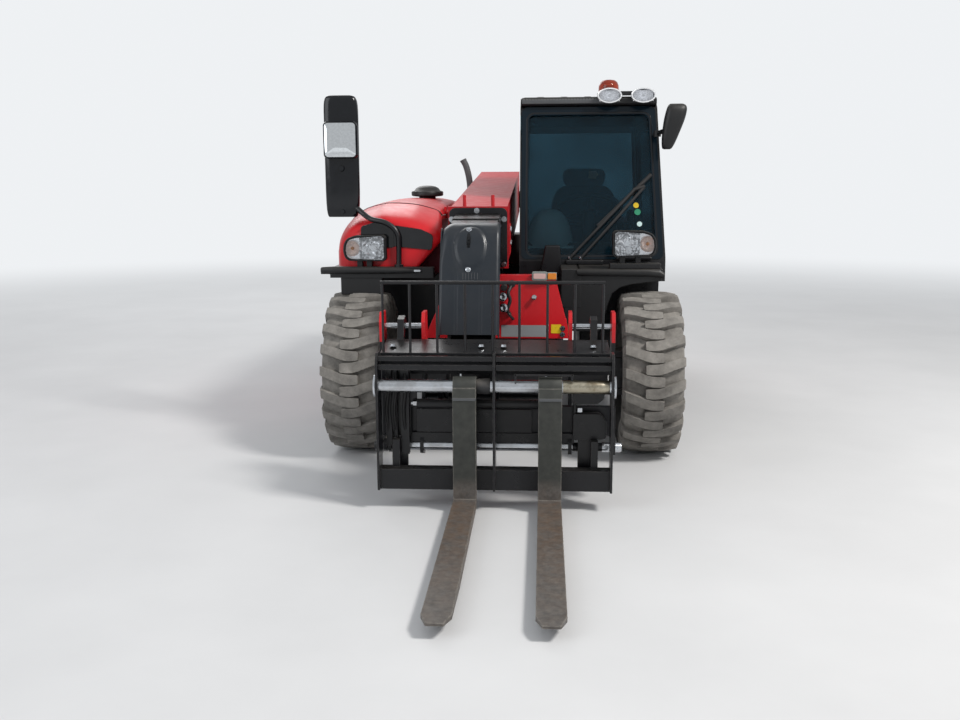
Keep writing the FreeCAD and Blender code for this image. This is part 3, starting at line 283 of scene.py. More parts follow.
# Name: (the record's slot, kind of surface, its values)
FINISHES = {
    "red_paint": ("red_paint", body_red, (RED,), {}),
    # darker, duller copy of the red for the boom: partly painted shade for its top, which lies in the cab's shadow
    "boom_red_shaded": ("red_paint", coated, ((0.44, 0.010, 0.016), 0.46), dict(dust=0.03, grain=0.05, worn=(0.12, 0.05, 0.05), specular=0.28)),
    # painted shade: the dark red of the engine bay's wall in shadow
    "shade_red": ("red_paint", coated, ((0.105, 0.008, 0.018), 0.5), dict(dust=0.05, grain=0.1, specular=0.25)),
    "coupler_paint": ("red_paint", ear_red, (RED, BLACK, 0.70), {}),
    "yellow_mark": ("red_paint", coated, ((0.75, 0.52, 0.02), 0.3), dict(grain=0.02)),
    "green_mark": ("red_paint", coated, ((0.02, 0.25, 0.13), 0.35), dict(grain=0.02)),
    "pale_mark": ("red_paint", coated, ((0.55, 0.72, 0.72), 0.35), dict(grain=0.02)),
    "orange_mark": ("red_paint", coated, ((1.0, 0.56, 0.30), 0.4), dict(grain=0.02)),
    "grey_band": ("red_paint", coated, ((0.27, 0.28, 0.29), 0.35), dict(grain=0.02)),
    "black_paint": ("black_paint", coated, (BLACK, 0.30), dict(dust=0.05, worn=(0.10, 0.095, 0.09), grain=0.1, specular=0.42)),
    "gloss_black": ("black_paint", coated, ((0.004, 0.005, 0.007), 0.09), dict(dust=0.03, grain=0.02, specular=0.4)),
    "pane_edge": ("black_paint", coated, ((0.004, 0.010, 0.016), 0.08), dict(dust=0.02, grain=0.01, specular=0.22)),
    "chassis_paint": ("chassis_paint", coated, ((0.013, 0.0135, 0.015), 0.45), dict(dust=0.2, grain=0.14, specular=0.4)),
    "dark_plastic": ("dark_plastic", coated, ((0.0075, 0.008, 0.009), 0.44), dict(grain=0.35, specular=0.4)),
    "hose_rubber": ("dark_plastic", coated, ((0.008, 0.008, 0.009), 0.55), dict(grain=0.3)),
    # painted light: far paler than the grey trim, to make up for the light that the tinted glass keeps off the dome
    "dome_grey_lit": ("dark_plastic", coated, ((0.70, 0.80, 0.77), 0.22), dict(dust=0.05, grain=0.05)),
    "grey_trim": ("dark_plastic", coated, ((0.20, 0.225, 0.215), 0.5), dict(grain=0.1)),
    "cover_plastic": ("cover_plastic", coated, ((0.0075, 0.0125, 0.0195), 0.33), dict(dust=0.08, grain=0.12, specular=0.42)),
    "tyre_rubber": ("tyre_rubber", rubber, (), {}),
    "rim_paint": ("rim_paint", coated, ((0.34, 0.34, 0.35), 0.38), dict(dust=0.2, grain=0.1, worn=(0.10, 0.085, 0.07))),
    "cast_axle": ("cast_axle", coated, ((0.022, 0.022, 0.024), 0.6), dict(dust=0.35, grain=0.5)),
    "engine_iron": ("engine_iron", coated, ((0.08, 0.085, 0.09), 0.55), dict(dust=0.3, grain=0.5)),
    "fork_steel": ("fork_steel", forged, (), {}),
    "bright_steel": ("bright_steel", metal, ((0.66, 0.69, 0.73), 0.2, 0.3, (0.16, 0.14, 0.11), (0.2, 3.0, 3.0)), {}),
    "greased_steel": ("bright_steel", metal, ((0.50, 0.46, 0.36), 0.3, 0.75, (0.12, 0.078, 0.036), (0.6, 2.0, 2.0)), {}),
    "chrome_rod": ("chrome_rod", metal, ((0.75, 0.75, 0.76), 0.08, 0.15), {}),
    "mirror_glass": ("chrome_rod", metal, ((0.80, 0.83, 0.85), 0.02, 0.02), {}),
    # the reflector finishes glow: painted light for the sky light that their bowls gather behind the glass
    "reflector": ("chrome_rod", bowl_metal, ((0.97, 0.98, 0.99), 0.10, 0.02, 0.55, 0.10), {}),
    "satin_reflector": ("chrome_rod", bowl_metal, ((0.97, 0.97, 0.99), 0.34, 0.02, 0.30, 0.26), {}),
    "signal_bowl": ("chrome_rod", bowl_metal, ((0.98, 0.80, 0.70), 0.25, 0.05, 0.15, 0.10), {}),
    # window glass: its last colour is a painted reflection of a dark blue sky
    "window_glass": ("window_glass", glass, ((0.66, 0.78, 0.83), 0.20, (0.20, 0.30, 0.34), (0.012, 0.040, 0.062)), {}),
    "clear_lens": ("lamp_glass", glass, ((0.95, 0.96, 0.97), 0.02), {}),
    "lamp_glass": ("lamp_glass", lens, ((0.93, 0.94, 0.94), 0.85), {}),
    "signal_bulb": ("lamp_glass", lens, ((0.88, 0.50, 0.26), 0.5), {}),
    "amber_lens": ("amber_lens", lens, ((0.95, 0.30, 0.02), 0.3), {}),
    "beacon_lens": ("amber_lens", lens, ((0.50, 0.060, 0.022), 0.6), {}),
    "red_lens": ("red_lens", lens, ((0.55, 0.015, 0.02),), {}),
    "glow_lens": ("red_lens", lens, ((0.55, 0.02, 0.015),), {}),
    "pale_lens": ("red_lens", coated, ((0.62, 0.40, 0.37), 0.2), dict(grain=0.02)),
    "seat_cover": ("seat_cover", upholstery, (), {}),
}
# the boom's outer part takes the darker red, partly painted shade
NODE_FINISH = {"coupler": "coupler_paint", "boom_outer": "boom_red_shaded"}

finish = {}
for finish_name, (_, surface_kind, values, options) in FINISHES.items():
    surface = Surface(bpy.data.materials.new(finish_name))
    surface_kind(surface, *values, **options)
    finish[finish_name] = surface.owner
for subpart in frame["record"]["subparts"]:
    node_mesh = frame["nodes"][subpart["node"]].data
    node_mesh.materials.clear()
    node_mesh.materials.append(finish[NODE_FINISH.get(subpart["node"], subpart["material_slot"])])


# Camera, light and floor

BACKDROP = (0.86, 0.88, 0.90)
FOCAL_PX, IMAGE_W_PX, SENSOR_MM = 970.0, 960.0, 36.0
CAMERA_AT = (0.2046, -5.3521, 1.3905)
CAMERA_YAW, CAMERA_PITCH, CAMERA_ROLL = -0.0654, 0.1787, -0.0053
FLOOR_REACH = 60.0
# Name, place, point it faces, width, power, colour, share in highlights
LAMPS = (("key", (5.2, -3.8, 7.0), (0, 0, 0.8), 1.6, 620.0, (1.0, 0.97, 0.93), 0.35),
         ("fill", (-6.0, -5.0, 4.0), (0, 0, 0.8), 5.0, 170.0, (0.93, 0.96, 1.0), 0.2),
         ("back", (-3.0, 7.0, 6.0), (0, 0, 1.0), 5.0, 220.0, (1, 1, 1), 0.15))


def add_object(name, data):
    made = bpy.data.objects.new(name, data)
    bpy.context.collection.objects.link(made)
    return made


def make_camera():
    forward = Vector((math.sin(CAMERA_YAW) * math.cos(CAMERA_PITCH),
                      math.cos(CAMERA_YAW) * math.cos(CAMERA_PITCH), -math.sin(CAMERA_PITCH)))
    level = Vector((math.cos(CAMERA_YAW), -math.sin(CAMERA_YAW), 0))
    above = level.cross(forward)
    right = level * math.cos(CAMERA_ROLL) + above * math.sin(CAMERA_ROLL)
    up = above * math.cos(CAMERA_ROLL) - level * math.sin(CAMERA_ROLL)
    data = bpy.data.cameras.new("camera")
    data.sensor_fit = "HORIZONTAL"
    data.sensor_width = SENSOR_MM
    data.lens = FOCAL_PX / IMAGE_W_PX * SENSOR_MM
    data.clip_end = 200.0
    camera = add_object("camera", data)
    camera.matrix_world = Matrix.Translation(CAMERA_AT) @ Matrix((right, up, -forward)).transposed().to_4x4()
    bpy.context.scene.camera = camera


def make_stage():
    """Pale floor and background that stay pale for camera and reflections alike."""
    world = Surface(bpy.data.worlds.new("studio"))
    bpy.context.scene.world = world.owner
    path = world.node("LightPath").outputs
    seen = world.maths("MAXIMUM", path["Is Camera Ray"], path["Is Transmission Ray"])
    seen = world.maths("MAXIMUM", seen, world.times(path["Is Glossy Ray"], 0.25))
    strength = world.node("MapRange", Value=seen, i1=0.0, i2=1.0, i3=0.55, i4=1.0).outputs["Result"]
    world.put(Color=BACKDROP, Strength=strength)

    mesh = bpy.data.meshes.new("floor")
    corners = [(x * FLOOR_REACH, y * FLOOR_REACH, 0) for x, y in ((-1, -1), (1, -1), (1, 1), (-1, 1))]
    mesh.from_pydata(corners, [], [(0, 1, 2, 3)])
    floor = add_object("floor", mesh)
    s = Surface(bpy.data.materials.new("floor"))
    s.put(Base_Color=s.mottle(1.2, 6.0, 0.55, (0.3, (0.60, 0.605, 0.615)), (0.8, (0.66, 0.665, 0.675))), Roughness=0.9)
    # far off, what the camera sees of the floor turns into the backdrop
    away = s.node("VectorMath", {"operation": "LENGTH"}, i0=s.place()).outputs["Value"]
    fade = s.node("MapRange", {"interpolation_type": "SMOOTHSTEP"}, Value=away, i1=4.0, i2=15.0).outputs["Result"]
    s.blend_output(fade, s.shader.outputs["BSDF"], s.node("Emission", Color=BACKDROP).outputs["Emission"])
    mesh.materials.append(s.owner)

    for name, lamp_at, target, size, power, colour, shine in LAMPS:
        data = bpy.data.lights.new(name, "AREA")
        data.size, data.energy, data.specular_factor, data.color = size, power, shine, colour
        lamp = add_object(name, data)
        lamp.location = lamp_at
        lamp.rotation_euler = (Vector(target) - Vector(lamp_at)).to_track_quat("-Z", "Y").to_euler()


# Shapes

def around(sides):
    return [2 * math.pi * i / sides for i in range(sides)]


def smooth_rows(rows, steps):
    """Catmull-Rom curve through rows of numbers."""
    rows = [tuple(row) for row in rows]
    if len(rows) < 3 or steps < 2:
        return rows
    padded = [tuple(2 * a - b for a, b in zip(rows[0], rows[1])), *rows,
              tuple(2 * a - b for a, b in zip(rows[-1], rows[-2]))]
    line = []
    for a, b, c, d in zip(padded, padded[1:], padded[2:], padded[3:]):
        for t in (i / steps for i in range(steps)):
            line.append(tuple(0.5 * (2 * q + (r - p) * t + (2 * p - 5 * q + 4 * r - s) * t * t
                                     + (3 * q - p - 3 * r + s) * t * t * t) for p, q, r, s in zip(a, b, c, d)))
    return line + [rows[-1]]


def smooth_line(route, steps):
    return [Vector(row) for row in smooth_rows(route, steps)]


def rounded(low, high, radius, steps=5):
    """Outline of a rectangle with round corners, from its low and high corners."""
    (x0, y0), (x1, y1) = low, high
    outline = []
    for cx, cy, start in ((x1 - radius, y1 - radius, 0), (x0 + radius, y1 - radius, 90),
                          (x0 + radius, y0 + radius, 180), (x1 - radius, y0 + radius, 270)):
        for a in (math.radians(start + 90 * i / steps) for i in range(steps + 1)):
            outline.append((cx + radius * math.cos(a), cy + radius * math.sin(a)))
    return outline


def fillet(corners, radii, steps=5):
    """Closed outline whose corners are each rounded by their own radius."""
    outline = []
    for i, corner in enumerate(corners):
        here = Vector(corner)
        before, after = Vector(corners[i - 1]) - here, Vector(corners[(i + 1) % len(corners)]) - here
        reach = min(radii[i] / math.tan(before.angle(after) / 2), before.length * 0.49, after.length * 0.49)
        start, end = here + before.normalized() * reach, here + after.normalized() * reach
        for t in (k / steps for k in range(steps + 1)):
            outline.append(tuple(start * (1 - t) ** 2 + here * 2 * t * (1 - t) + end * t * t))
    return outline


def inset(outline, depth):
    """Every point moved towards the outline's middle by depth."""
    middle = sum((Vector(p) for p in outline), Vector((0, 0))) / len(outline)
    return [tuple(Vector(p) - (Vector(p) - middle).normalized() * depth) for p in outline]


def oval(x, y, z, half, deep, x_power, y_power, sides=40, bulge=0.0):
    """Level ring that gets squarer as its powers shrink; its front half may bulge backwards."""
    ring = []
    for c, s in ((math.cos(a), math.sin(a)) for a in around(sides)):
        ring.append((x + half * math.copysign(abs(c) ** x_power, c),
                     y + deep * math.copysign(abs(s) ** y_power, s) + (bulge * s * s if s < 0 else 0.0), z))
    return ring


def upright(outline, y):
    """Ring of an (x, z) outline at one distance from the axle."""
    return [(x, y, z) for x, z in outline]


class Form:
    """Vertices and faces that grow as shapes are added."""

    def __init__(self):
        self.verts = []
        self.faces = []

    def add(self, verts, faces):
        base = len(self.verts)
        self.verts += [spot(v) for v in verts]
        self.faces += [tuple(base + i for i in face) for face in faces]
        return self

    def skin(self, rings, closed=True, caps=True):
        """Faces between rings of points; closed rings join their last point to the first."""
        count = len(rings[0])
        faces = []
        for start in range(0, (len(rings) - 1) * count, count):
            for i in range(count if closed else count - 1):
                j = (i + 1) % count
                faces.append((start + i, start + j, start + count + j, start + count + i))
        if caps and closed:
            faces.append(tuple(range(count))[::-1])
            faces.append(tuple((len(rings) - 1) * count + i for i in range(count)))
        return self.add([v for ring in rings for v in ring], faces)

    def box(self, low, high):
        (x0, y0, z0), (x1, y1, z1) = low, high
        return self.skin([[(x, y, z) for x, y in ((x0, y0), (x1, y0), (x1, y1), (x0, y1))] for z in (z0, z1)])

    def boxes(self, *corners):
        for low, high in corners:
            self.box(low, high)
        return self

    def plate(self, outline, axis, *levels):
        """Prism of a flat outline. The outline's two values are the other two axes in order."""
        index = "xyz".index(axis)
        return self.skin([[(*pair[:index], level, *pair[index:]) for pair in outline] for level in levels])

    def turned(self, centre, axis, profile, sides):
        turn = Vector(axis).to_track_quat("Z", "X")
        return [[spot(centre) + turn @ Vector((r * math.cos(a), r * math.sin(a), s)) for a in around(sides)]
                for s, r in profile]

    def rod(self, start, end, radius, sides=24, end_radius=None):
        start, end = spot(start), spot(end)
        tip = radius if end_radius is None else end_radius
        return self.skin(self.turned(start, end - start, [(0.0, radius), ((end - start).length, tip)], sides))

    def rods(self, *ends, radius, sides):
        for start, end in ends:
            self.rod(start, end, radius, sides)
        return self

    def lathe(self, centre, axis, profile, sides=48, caps=True):
        """Turn (distance along the axis, radius) pairs about the axis."""
        return self.skin(self.turned(centre, axis, profile, sides), caps=caps)

    def tube(self, route, radius, sides=14, steps=8):
        """Round bar along a smooth line through the route's points."""
        line = smooth_line([spot(p) for p in route], steps)
        rings = []
        turn = (line[1] - line[0]).to_track_quat("Z", "Y")
        for i, middle in enumerate(line):
            ahead = line[min(i + 1, len(line) - 1)] - line[max(i - 1, 0)]
            turn = (turn @ Vector((0, 0, 1))).rotation_difference(ahead) @ turn
            rings.append([middle + turn @ Vector((radius * math.cos(a), radius * math.sin(a), 0)) for a in around(sides)])
        return self.skin(rings)

    def bolt(self, foot, axis, across=0.019, height=0.009):
        """Hexagon head on its washer, standing along axis."""
        foot, axis = spot(foot), Vector(axis).normalized()
        self.rod(foot, foot + axis * 0.0025, across * 0.78, 20)
        return self.rod(foot, foot + axis * height, across / 2 / math.cos(math.pi / 6), 6)

    def make(self, name, slot, body="chassis", smooth=0.0, bevel=0.0, replaced=()):
        """A mesh piece that rides on a body. smooth is the angle in degrees under which edges
        look round, and bevel the width by which sharp edges are broken."""
        mesh = bpy.data.meshes.new(name)
        mesh.from_pydata([tuple(v) for v in self.verts], [], self.faces)
        edit = bmesh.new()
        edit.from_mesh(mesh)
        bmesh.ops.remove_doubles(edit, verts=edit.verts, dist=1e-5)
        bmesh.ops.recalc_face_normals(edit, faces=edit.faces)
        if smooth:
            for edge in edit.edges:
                edge.smooth = len(edge.link_faces) == 2 and edge.calc_face_angle(0.0) < math.radians(smooth)
            for face in edit.faces:
                face.smooth = True
        edit.to_mesh(mesh)
        edit.free()
        mesh.materials.append(finish[slot])
        made = add_object(name, mesh)
        if bevel:
            break_edges(made, bevel, max(smooth, 28.0)).harden_normals = bool(smooth)
        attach(made, body)
        if replaced:
            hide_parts(*replaced)
        return made


def break_edges(made, width, angle):
    edges = made.modifiers.new("edges", "BEVEL")
    edges.width = width
    edges.segments = 2
    edges.limit_method = "ANGLE"
    edges.angle_limit = math.radians(angle)
    edges.use_clamp_overlap = True
    return edges


# Tyres

LUGS = 22
LUG_DEPTH = 0.033
LUG_START = -0.415
# distance from the middle as a share of half the width, turn behind the shoulder and half
# length round the tyre, both as shares of the pitch between lugs
LUG_ROW = [(1.0, 0.0, 0.175), (0.985, 0.0, 0.195), (0.93, 0.02, 0.205), (0.62, 0.16, 0.215), (0.3, 0.31, 0.225),
           (0.1, 0.375, 0.225), (-0.08, 0.385, 0.222), (-0.24, 0.385, 0.205), (-0.3, 0.385, 0.17)]
# distance from the middle as a share of half the width, and depth under the tread's top
CROWN = [(0.0, 0.0), (0.47, 0.0), (0.78, 0.006), (0.93, 0.013), (0.985, 0.034), (1.0, 0.062)]
TREAD_FLOOR = WHEEL_R - LUG_DEPTH
# share of half the width and radius, from the rim over the side wall to the tread's middle
SIDE_WALL = [(-0.70, 0.2105), (-0.76, 0.216), (-0.80, 0.232), (-0.86, 0.244), (-0.955, 0.272), (-0.99, 0.305),
             (-0.985, 0.335), (-0.955, 0.355), (-0.90, TREAD_FLOOR - 0.012), (-0.78, TREAD_FLOOR - 0.003),
             (-0.5, TREAD_FLOOR + 0.002), (0.0, TREAD_FLOOR + 0.004)]


def crown_drop(share):
    for (s0, d0), (s1, d1) in zip(CROWN, CROWN[1:]):
        if abs(share) <= s1:
            return d0 + (d1 - d0) * (abs(share) - s0) / (s1 - s0)


def add_tyre(form, centre):
    half = WHEEL_W / 2
    profile = SIDE_WALL + [(-s, r) for s, r in reversed(SIDE_WALL[:-1])]
    form.lathe(centre, (1, 0, 0), [(s * half, r) for s, r in profile], 132)
    pitch = 2 * math.pi / LUGS
    for side in (-1, 1):
        for number in range(LUGS):
            start = (number + (0.5 if side > 0 else 0.0) + LUG_START) * pitch
            rings = []
            for share, behind, length in LUG_ROW:
                top = WHEEL_R - crown_drop(share)
                base = TREAD_FLOOR - 0.02 if abs(share) < 0.9 else top - 0.035
                ring = []
                for radius, spread in ((base, 1.10), (top - 0.004, 1.0), (top, 0.94), (top, 0.5), (top, -0.5), (top, -0.94),
                                       (top - 0.004, -1.0), (base, -1.10)):
                    angle = start - behind * pitch + spread * length * pitch
                    ring.append(centre + Vector((side * share * half, -radius * math.cos(angle), radius * math.sin(angle))))
                rings.append(ring)
            form.skin(rings)


def make_tyres():
    for name in ("front_left", "front_right", "rear_left", "rear_right"):
        low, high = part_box("tyre_" + name)
        centre = (low + high) / 2
        tyre = Form()
        add_tyre(tyre, centre)
        tyre.make("tread_tyre_" + name, "tyre_rubber", "wheel_" + name, smooth=30, replaced=("tyre_" + name,))
        out = Vector((1 if name.endswith("left") else -1, 0, 0))
        nuts = Form()
        for count, circle, reach, across, height in ((8, 0.125, -0.014, 0.027, 0.02), (6, 0.05, 0.045, 0.016, 0.008)):
            for a in around(count):
                nuts.bolt(centre + out * reach + Vector((0, circle * math.cos(a), circle * math.sin(a))), out, across, height)
        nuts.lathe(centre + out * 0.045, out, [(0.0, 0.032), (0.008, 0.03), (0.012, 0.02)], 24)
        nuts.make("wheel_nuts_" + name, "bright_steel", "wheel_" + name, smooth=30)


# Plain edges of the carried nodes

SOFT_EDGES = {
    "chassis_frame": 0.002, "boom_towers": 0.003, "counterweight": 0.012, "boom_outer": 0.005,
    "boom_inner": 0.004, "boom_head": 0.003, "coupler": 0.003, "carriage_frame": 0.002, "fork_left": 0.004,
    "fork_right": 0.004, "cab_shell": 0.007, "cab_door": 0.005, "side_tank": 0.012, "engine_bay": 0.003,
    "rear_body_right": 0.012, "rear_body_left": 0.012, "rear_deck": 0.003, "tail_lights": 0.006,
    "front_guard_right": 0.007, "console": 0.02, "engine_block": 0.02,
}


def soften_edges():
    for name, width in SOFT_EDGES.items():
        carried = frame["nodes"][name]
        carried.modifiers.new("weld", "WELD").merge_threshold = 1e-5
        break_edges(carried, width, 35)


# Engine hood

# Outer edge x, shoulder z, crown z, inner top z and inner edge x at each y
NOSE_ROWS = [(0.0, -0.838, 1.085, 1.213, 1.150, -0.335), (0.03, -0.868, 1.105, 1.232, 1.172, -0.331),
             (0.09, -0.888, 1.120, 1.252, 1.196, -0.332), (0.2, -0.900, 1.140, 1.274, 1.228, -0.342),
             (0.354, -0.905, 1.158, 1.293, 1.258, -0.358)]
LID_ROWS = [(0.360, -0.905, 1.158, 1.294, 1.259, -0.360), (0.60, -0.905, 1.176, 1.306, 1.276, -0.360),
            (1.0, -0.905, 1.190, 1.310, 1.288, -0.360), (1.45, -0.905, 1.190, 1.308, 1.288, -0.360),
            (1.70, -0.905, 1.172, 1.292, 1.275, -0.360), (1.85, -0.905, 1.152, 1.266, 1.253, -0.360)]
NOSE_FOOT_Z, LID_FOOT_Z = 0.93, 1.002
HOOD_WALL = 0.018
# the lid's inner edge ends above the engine bay's wall
LID_EDGE_Z = 1.224
# the nose's inner edge leans away from the boom below this height, by so much at its foot
NOSE_LEAN_Z, NOSE_LEAN = 1.098, 0.147


def hood_ring(row, low, depth=0.0, leans=False):
    """Cross outline of the hood at one y, drawn in by depth; low is the height of its edge."""
    y, x0, shoulder, crown, inner, x1 = row
    inner_z, edge_z = (inner - 0.040, NOSE_LEAN_Z) if leans else (max(inner - 0.040, LID_EDGE_Z + 0.004), LID_EDGE_Z)
    knots = [(x0, low), (x0, shoulder - 0.075), (x0 + 0.014, shoulder - 0.01), (x0 + 0.055, shoulder + 0.052),
             (x0 + 0.125, crown - 0.032), (x0 + 0.21, crown - 0.008), (x0 + 0.30 * (x1 - x0) + 0.10, crown),
             (x1 - 0.150, (crown + inner) / 2 + 0.010), (x1 - 0.060, inner + 0.006), (x1 - 0.020, inner - 0.010),
             (x1, inner_z), (x1, edge_z)]
    if depth:
        middle = (x0 + x1) / 2
        knots = [(x + math.copysign(depth if i in (0, 1, 2, 10, 11) else depth * 0.6, middle - x), z - (depth if 2 < i < 10 else 0.0))
                 for i, (x, z) in enumerate(knots)]
    line = [knots[0], *smooth_rows(knots[1:-1], 5), knots[-1]]
    if leans:
        line.append((knots[-1][0] - NOSE_LEAN, low))
    return [at(x, y, z) for x, z in line]


def hood_shell(rows, low, front_face):
    """Shell between an outer and an inner skin, with the front face closed when asked."""
    outer, inner = ([hood_ring(row, low, depth, front_face) for row in rows] for depth in (0.0, HOOD_WALL))
    count = len(outer[0])
    form = Form()
    if front_face:
        inner[0] = [v + Vector((0, HOOD_WALL, 0)) for v in inner[0]]
        # rounded rim from the sides and the top into the flat face
        centre = sum(outer[0], Vector()) / count
        rim = []
        for reach, back in ((0.0, 0.0), (0.012, -0.008), (0.03, -0.012)):
            pulls = [Vector((centre.x - v.x, 0, centre.z - v.z)).normalized() for v in outer[0]]
            ring = [v + pull * reach + Vector((0, back, 0)) for v, pull in zip(outer[0], pulls)]
            ring[0].z = ring[-1].z = low
            rim.append(ring)
        form.skin(rim, closed=False)
        for ring in (rim[-1], inner[0]):
            form.add(ring, [tuple(range(count))])
    edges = [[[ring[i] for ring in outer], [ring[i] for ring in inner]] for i in (0, count - 1)]
    ends = [[outer[-1], inner[-1]]] + ([] if front_face else [[outer[0], inner[0]]])
    for rings in [outer, inner, *ends, *edges]:
        form.skin(rings, closed=False)
    return form


def make_hood():
    hood_shell(smooth_rows(NOSE_ROWS, 3), NOSE_FOOT_Z, True).make("hood_nose_skin", "red_paint", smooth=38, replaced=("hood_nose",))
    lid = hood_shell(smooth_rows(LID_ROWS, 4), LID_FOOT_Z, False)
    for y in (0.52, 1.56):
        lid.rod((-0.350, y, 1.236), (-0.350, y + 0.06, 1.236), 0.008)
        lid.box((-0.361, y, 1.236), (-0.352, y + 0.06, 1.268))
    lid.make("hood_lid_skin", "red_paint", "hood", smooth=38, replaced=("hood_lid",))
    # painted shade: a dark red sheet for the engine bay's inner wall in shadow, seen between the nose and the boom
    Form().box((-0.500, 0.135, 0.925), (-0.306, 0.143, 1.120)).make("nose_inner_wall_shade", "shade_red", bevel=0.002)

    # black window band and the panel behind the lamp, on the nose's flat face
    band = fillet([(-0.585, 1.078), (-0.374, 1.056), (-0.366, 1.135), (-0.43, 1.165), (-0.585, 1.188)],
                  [0.01, 0.018, 0.03, 0.08, 0.02])
    panel = fillet([(-0.745, 1.07), (-0.572, 1.07), (-0.572, 1.190), (-0.66, 1.205), (-0.745, 1.18)], [0.02, 0.01, 0.01, 0.05, 0.02])
    black = Form().plate(band, "y", -0.0165, -0.0095).plate(panel, "y", -0.0175, -0.0095)
    black.make("nose_window", "gloss_black", smooth=30, bevel=0.0015)
    # painted shadow: a dark tube along the seam between the nose and the lid
    seam = hood_ring((0.357, *NOSE_ROWS[-1][1:]), 1.0)
    Form().tube(seam, 0.0035, 8, 1).make("hood_seam_shadow", "dark_plastic", smooth=40)

    # exhaust pipe beside the boom
    route = [at(x, 1.93, z) for x, z in ((-0.322, 1.140), (-0.316, 1.312), (-0.318, 1.389), (-0.328, 1.459), (-0.345, 1.522), (-0.362, 1.556))]
    pipe = Form().tube(route, 0.022, 24, 6).tube([route[-1], route[-1] + (route[-1] - route[-2]) * 0.3], 0.0235, 24)
    pipe.rod(route[0], (-0.322, 1.93, 1.154), 0.040, 32).make("exhaust_tube", "engine_iron", smooth=45)

    # domed rain cap of the air intake
    low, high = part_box("air_intake")
    cap = [(1.285, 0.050), (1.318, 0.052), (1.322, 0.088), (1.326, 0.099), (1.346, 0.100), (1.352, 0.096), (1.356, 0.082),
           (1.372, 0.070), (1.382, 0.050), (1.387, 0.024), (1.388, 0.0)]
    centre = Vector(((low.x + high.x) / 2 + 0.030, (low.y + high.y) / 2, 0))
    Form().lathe(centre, (0, 0, 1), cap, 56).make("intake_cap", "dark_plastic", "hood", smooth=40, replaced=("air_intake",))


# Boom mouth and head

BOOM_PIVOT = (2.350, 1.280)
BOOM_DIP = math.radians(4.7)
BOOM_AHEAD = Vector((0, -math.cos(BOOM_DIP), -math.sin(BOOM_DIP)))
MOUTH_AT = -2.450
MOUTH_OUTER = rounded((-0.147, -0.106), (0.147, 0.198), 0.030)
MOUTH_INNER = rounded((-0.1165, -0.0755), (0.1165, 0.1675), 0.012)


def on_boom(x, s, h):
    """Point on the lowered boom: x from its middle, s forward from its mouth, h over its axis."""
    back = MOUTH_AT - s
    return at(BOOM_X + x, BOOM_PIVOT[0] + back * math.cos(BOOM_DIP) - h * math.sin(BOOM_DIP),
              BOOM_PIVOT[1] + back * math.sin(BOOM_DIP) + h * math.cos(BOOM_DIP))


def make_mouth():
    turn = ((MOUTH_OUTER, 0.0005), (MOUTH_OUTER, 0.008), (MOUTH_INNER, 0.008), (MOUTH_INNER, 0.0005), (MOUTH_OUTER, 0.0005))
    plate = Form().skin([[on_boom(x, s, h) for x, h in outline] for outline, s in turn], caps=False)
    plate.make("mouth_plate", "black_paint", "boom", smooth=30, bevel=0.001)
    bolts, strips, pads = Form(), Form(), Form()
    for x, h in ((-0.007, 0.184), (-0.136, 0.141), (0.131, 0.141), (0.131, -0.089), (-0.132, -0.089), (0.0, -0.091)):
        bolts.bolt(on_boom(x, 0.008, h), BOOM_AHEAD, 0.018)
    bolts.make("mouth_bolts", "bright_steel", "boom", smooth=30)
    # red guide strips at the sides and bolted pads along the boom
    for side in (-1, 1):
        strips.skin([[on_boom(side * x, s, h) for x, h in ((0.1535, 0.10), (0.1535, -0.05), (0.160, -0.05), (0.160, 0.10))]
                     for s in (-0.16, -0.02)])
        for s, h in ((-0.06, 0.01), (-0.06, 0.08), (-0.10, 0.01), (-0.10, 0.08)):
            pads.bolt(on_boom(side * 0.160, s, h), (side, 0, 0), 0.016, 0.007)
    strips.make("mouth_strips", "boom_red_shaded", "boom", smooth=30, bevel=0.002)
    pads.make("pad_bolts", "bright_steel", "boom", smooth=30)


# Cover's face from the top edge down: y, z
COVER_FACE = [(-0.382, 1.2150), (-0.452, 1.2080), (-0.496, 1.182), (-0.529, 1.125), (-0.597, 0.945), (-0.668, 0.712)]
COVER_HALF = 0.141
COVER_X = BOOM_X - 0.011
COVER_WALL = 0.006
COVER_COLUMNS = [COVER_HALF * math.sin(math.pi * (i / 64 - 0.5)) for i in range(65)]


def cover_drop(x, share):
    """How far the cover's skin lies behind its face: rounded sides, a raised oval and creases."""
    big = 0.062 * max(0.0, 1 - share * 2.2) + 0.016
    drop = 0.0
    for reach, radius in ((COVER_HALF + x, big), (COVER_HALF - x, 0.020)):
        if reach < radius:
            drop += radius - math.sqrt(max(0.0, radius ** 2 - (radius - reach) ** 2))
    # embossed oval with a shallow groove round it
    away = math.hypot((x - 0.003) / 0.074, (share - 0.335) / 0.175)
    drop -= 0.006 * max(0.0, min(1.0, (1.0 - away) * 7.0))
    drop += 0.003 * math.exp(-((away - 1.05) / 0.05) ** 2)
    # two creases that run down from the oval
    if share > 0.50:
        for crease in (-0.060, 0.055):
            drop += 0.003 * math.exp(-((x - crease) / 0.004) ** 2) * min(1.0, (share - 0.50) * 12)
    return drop


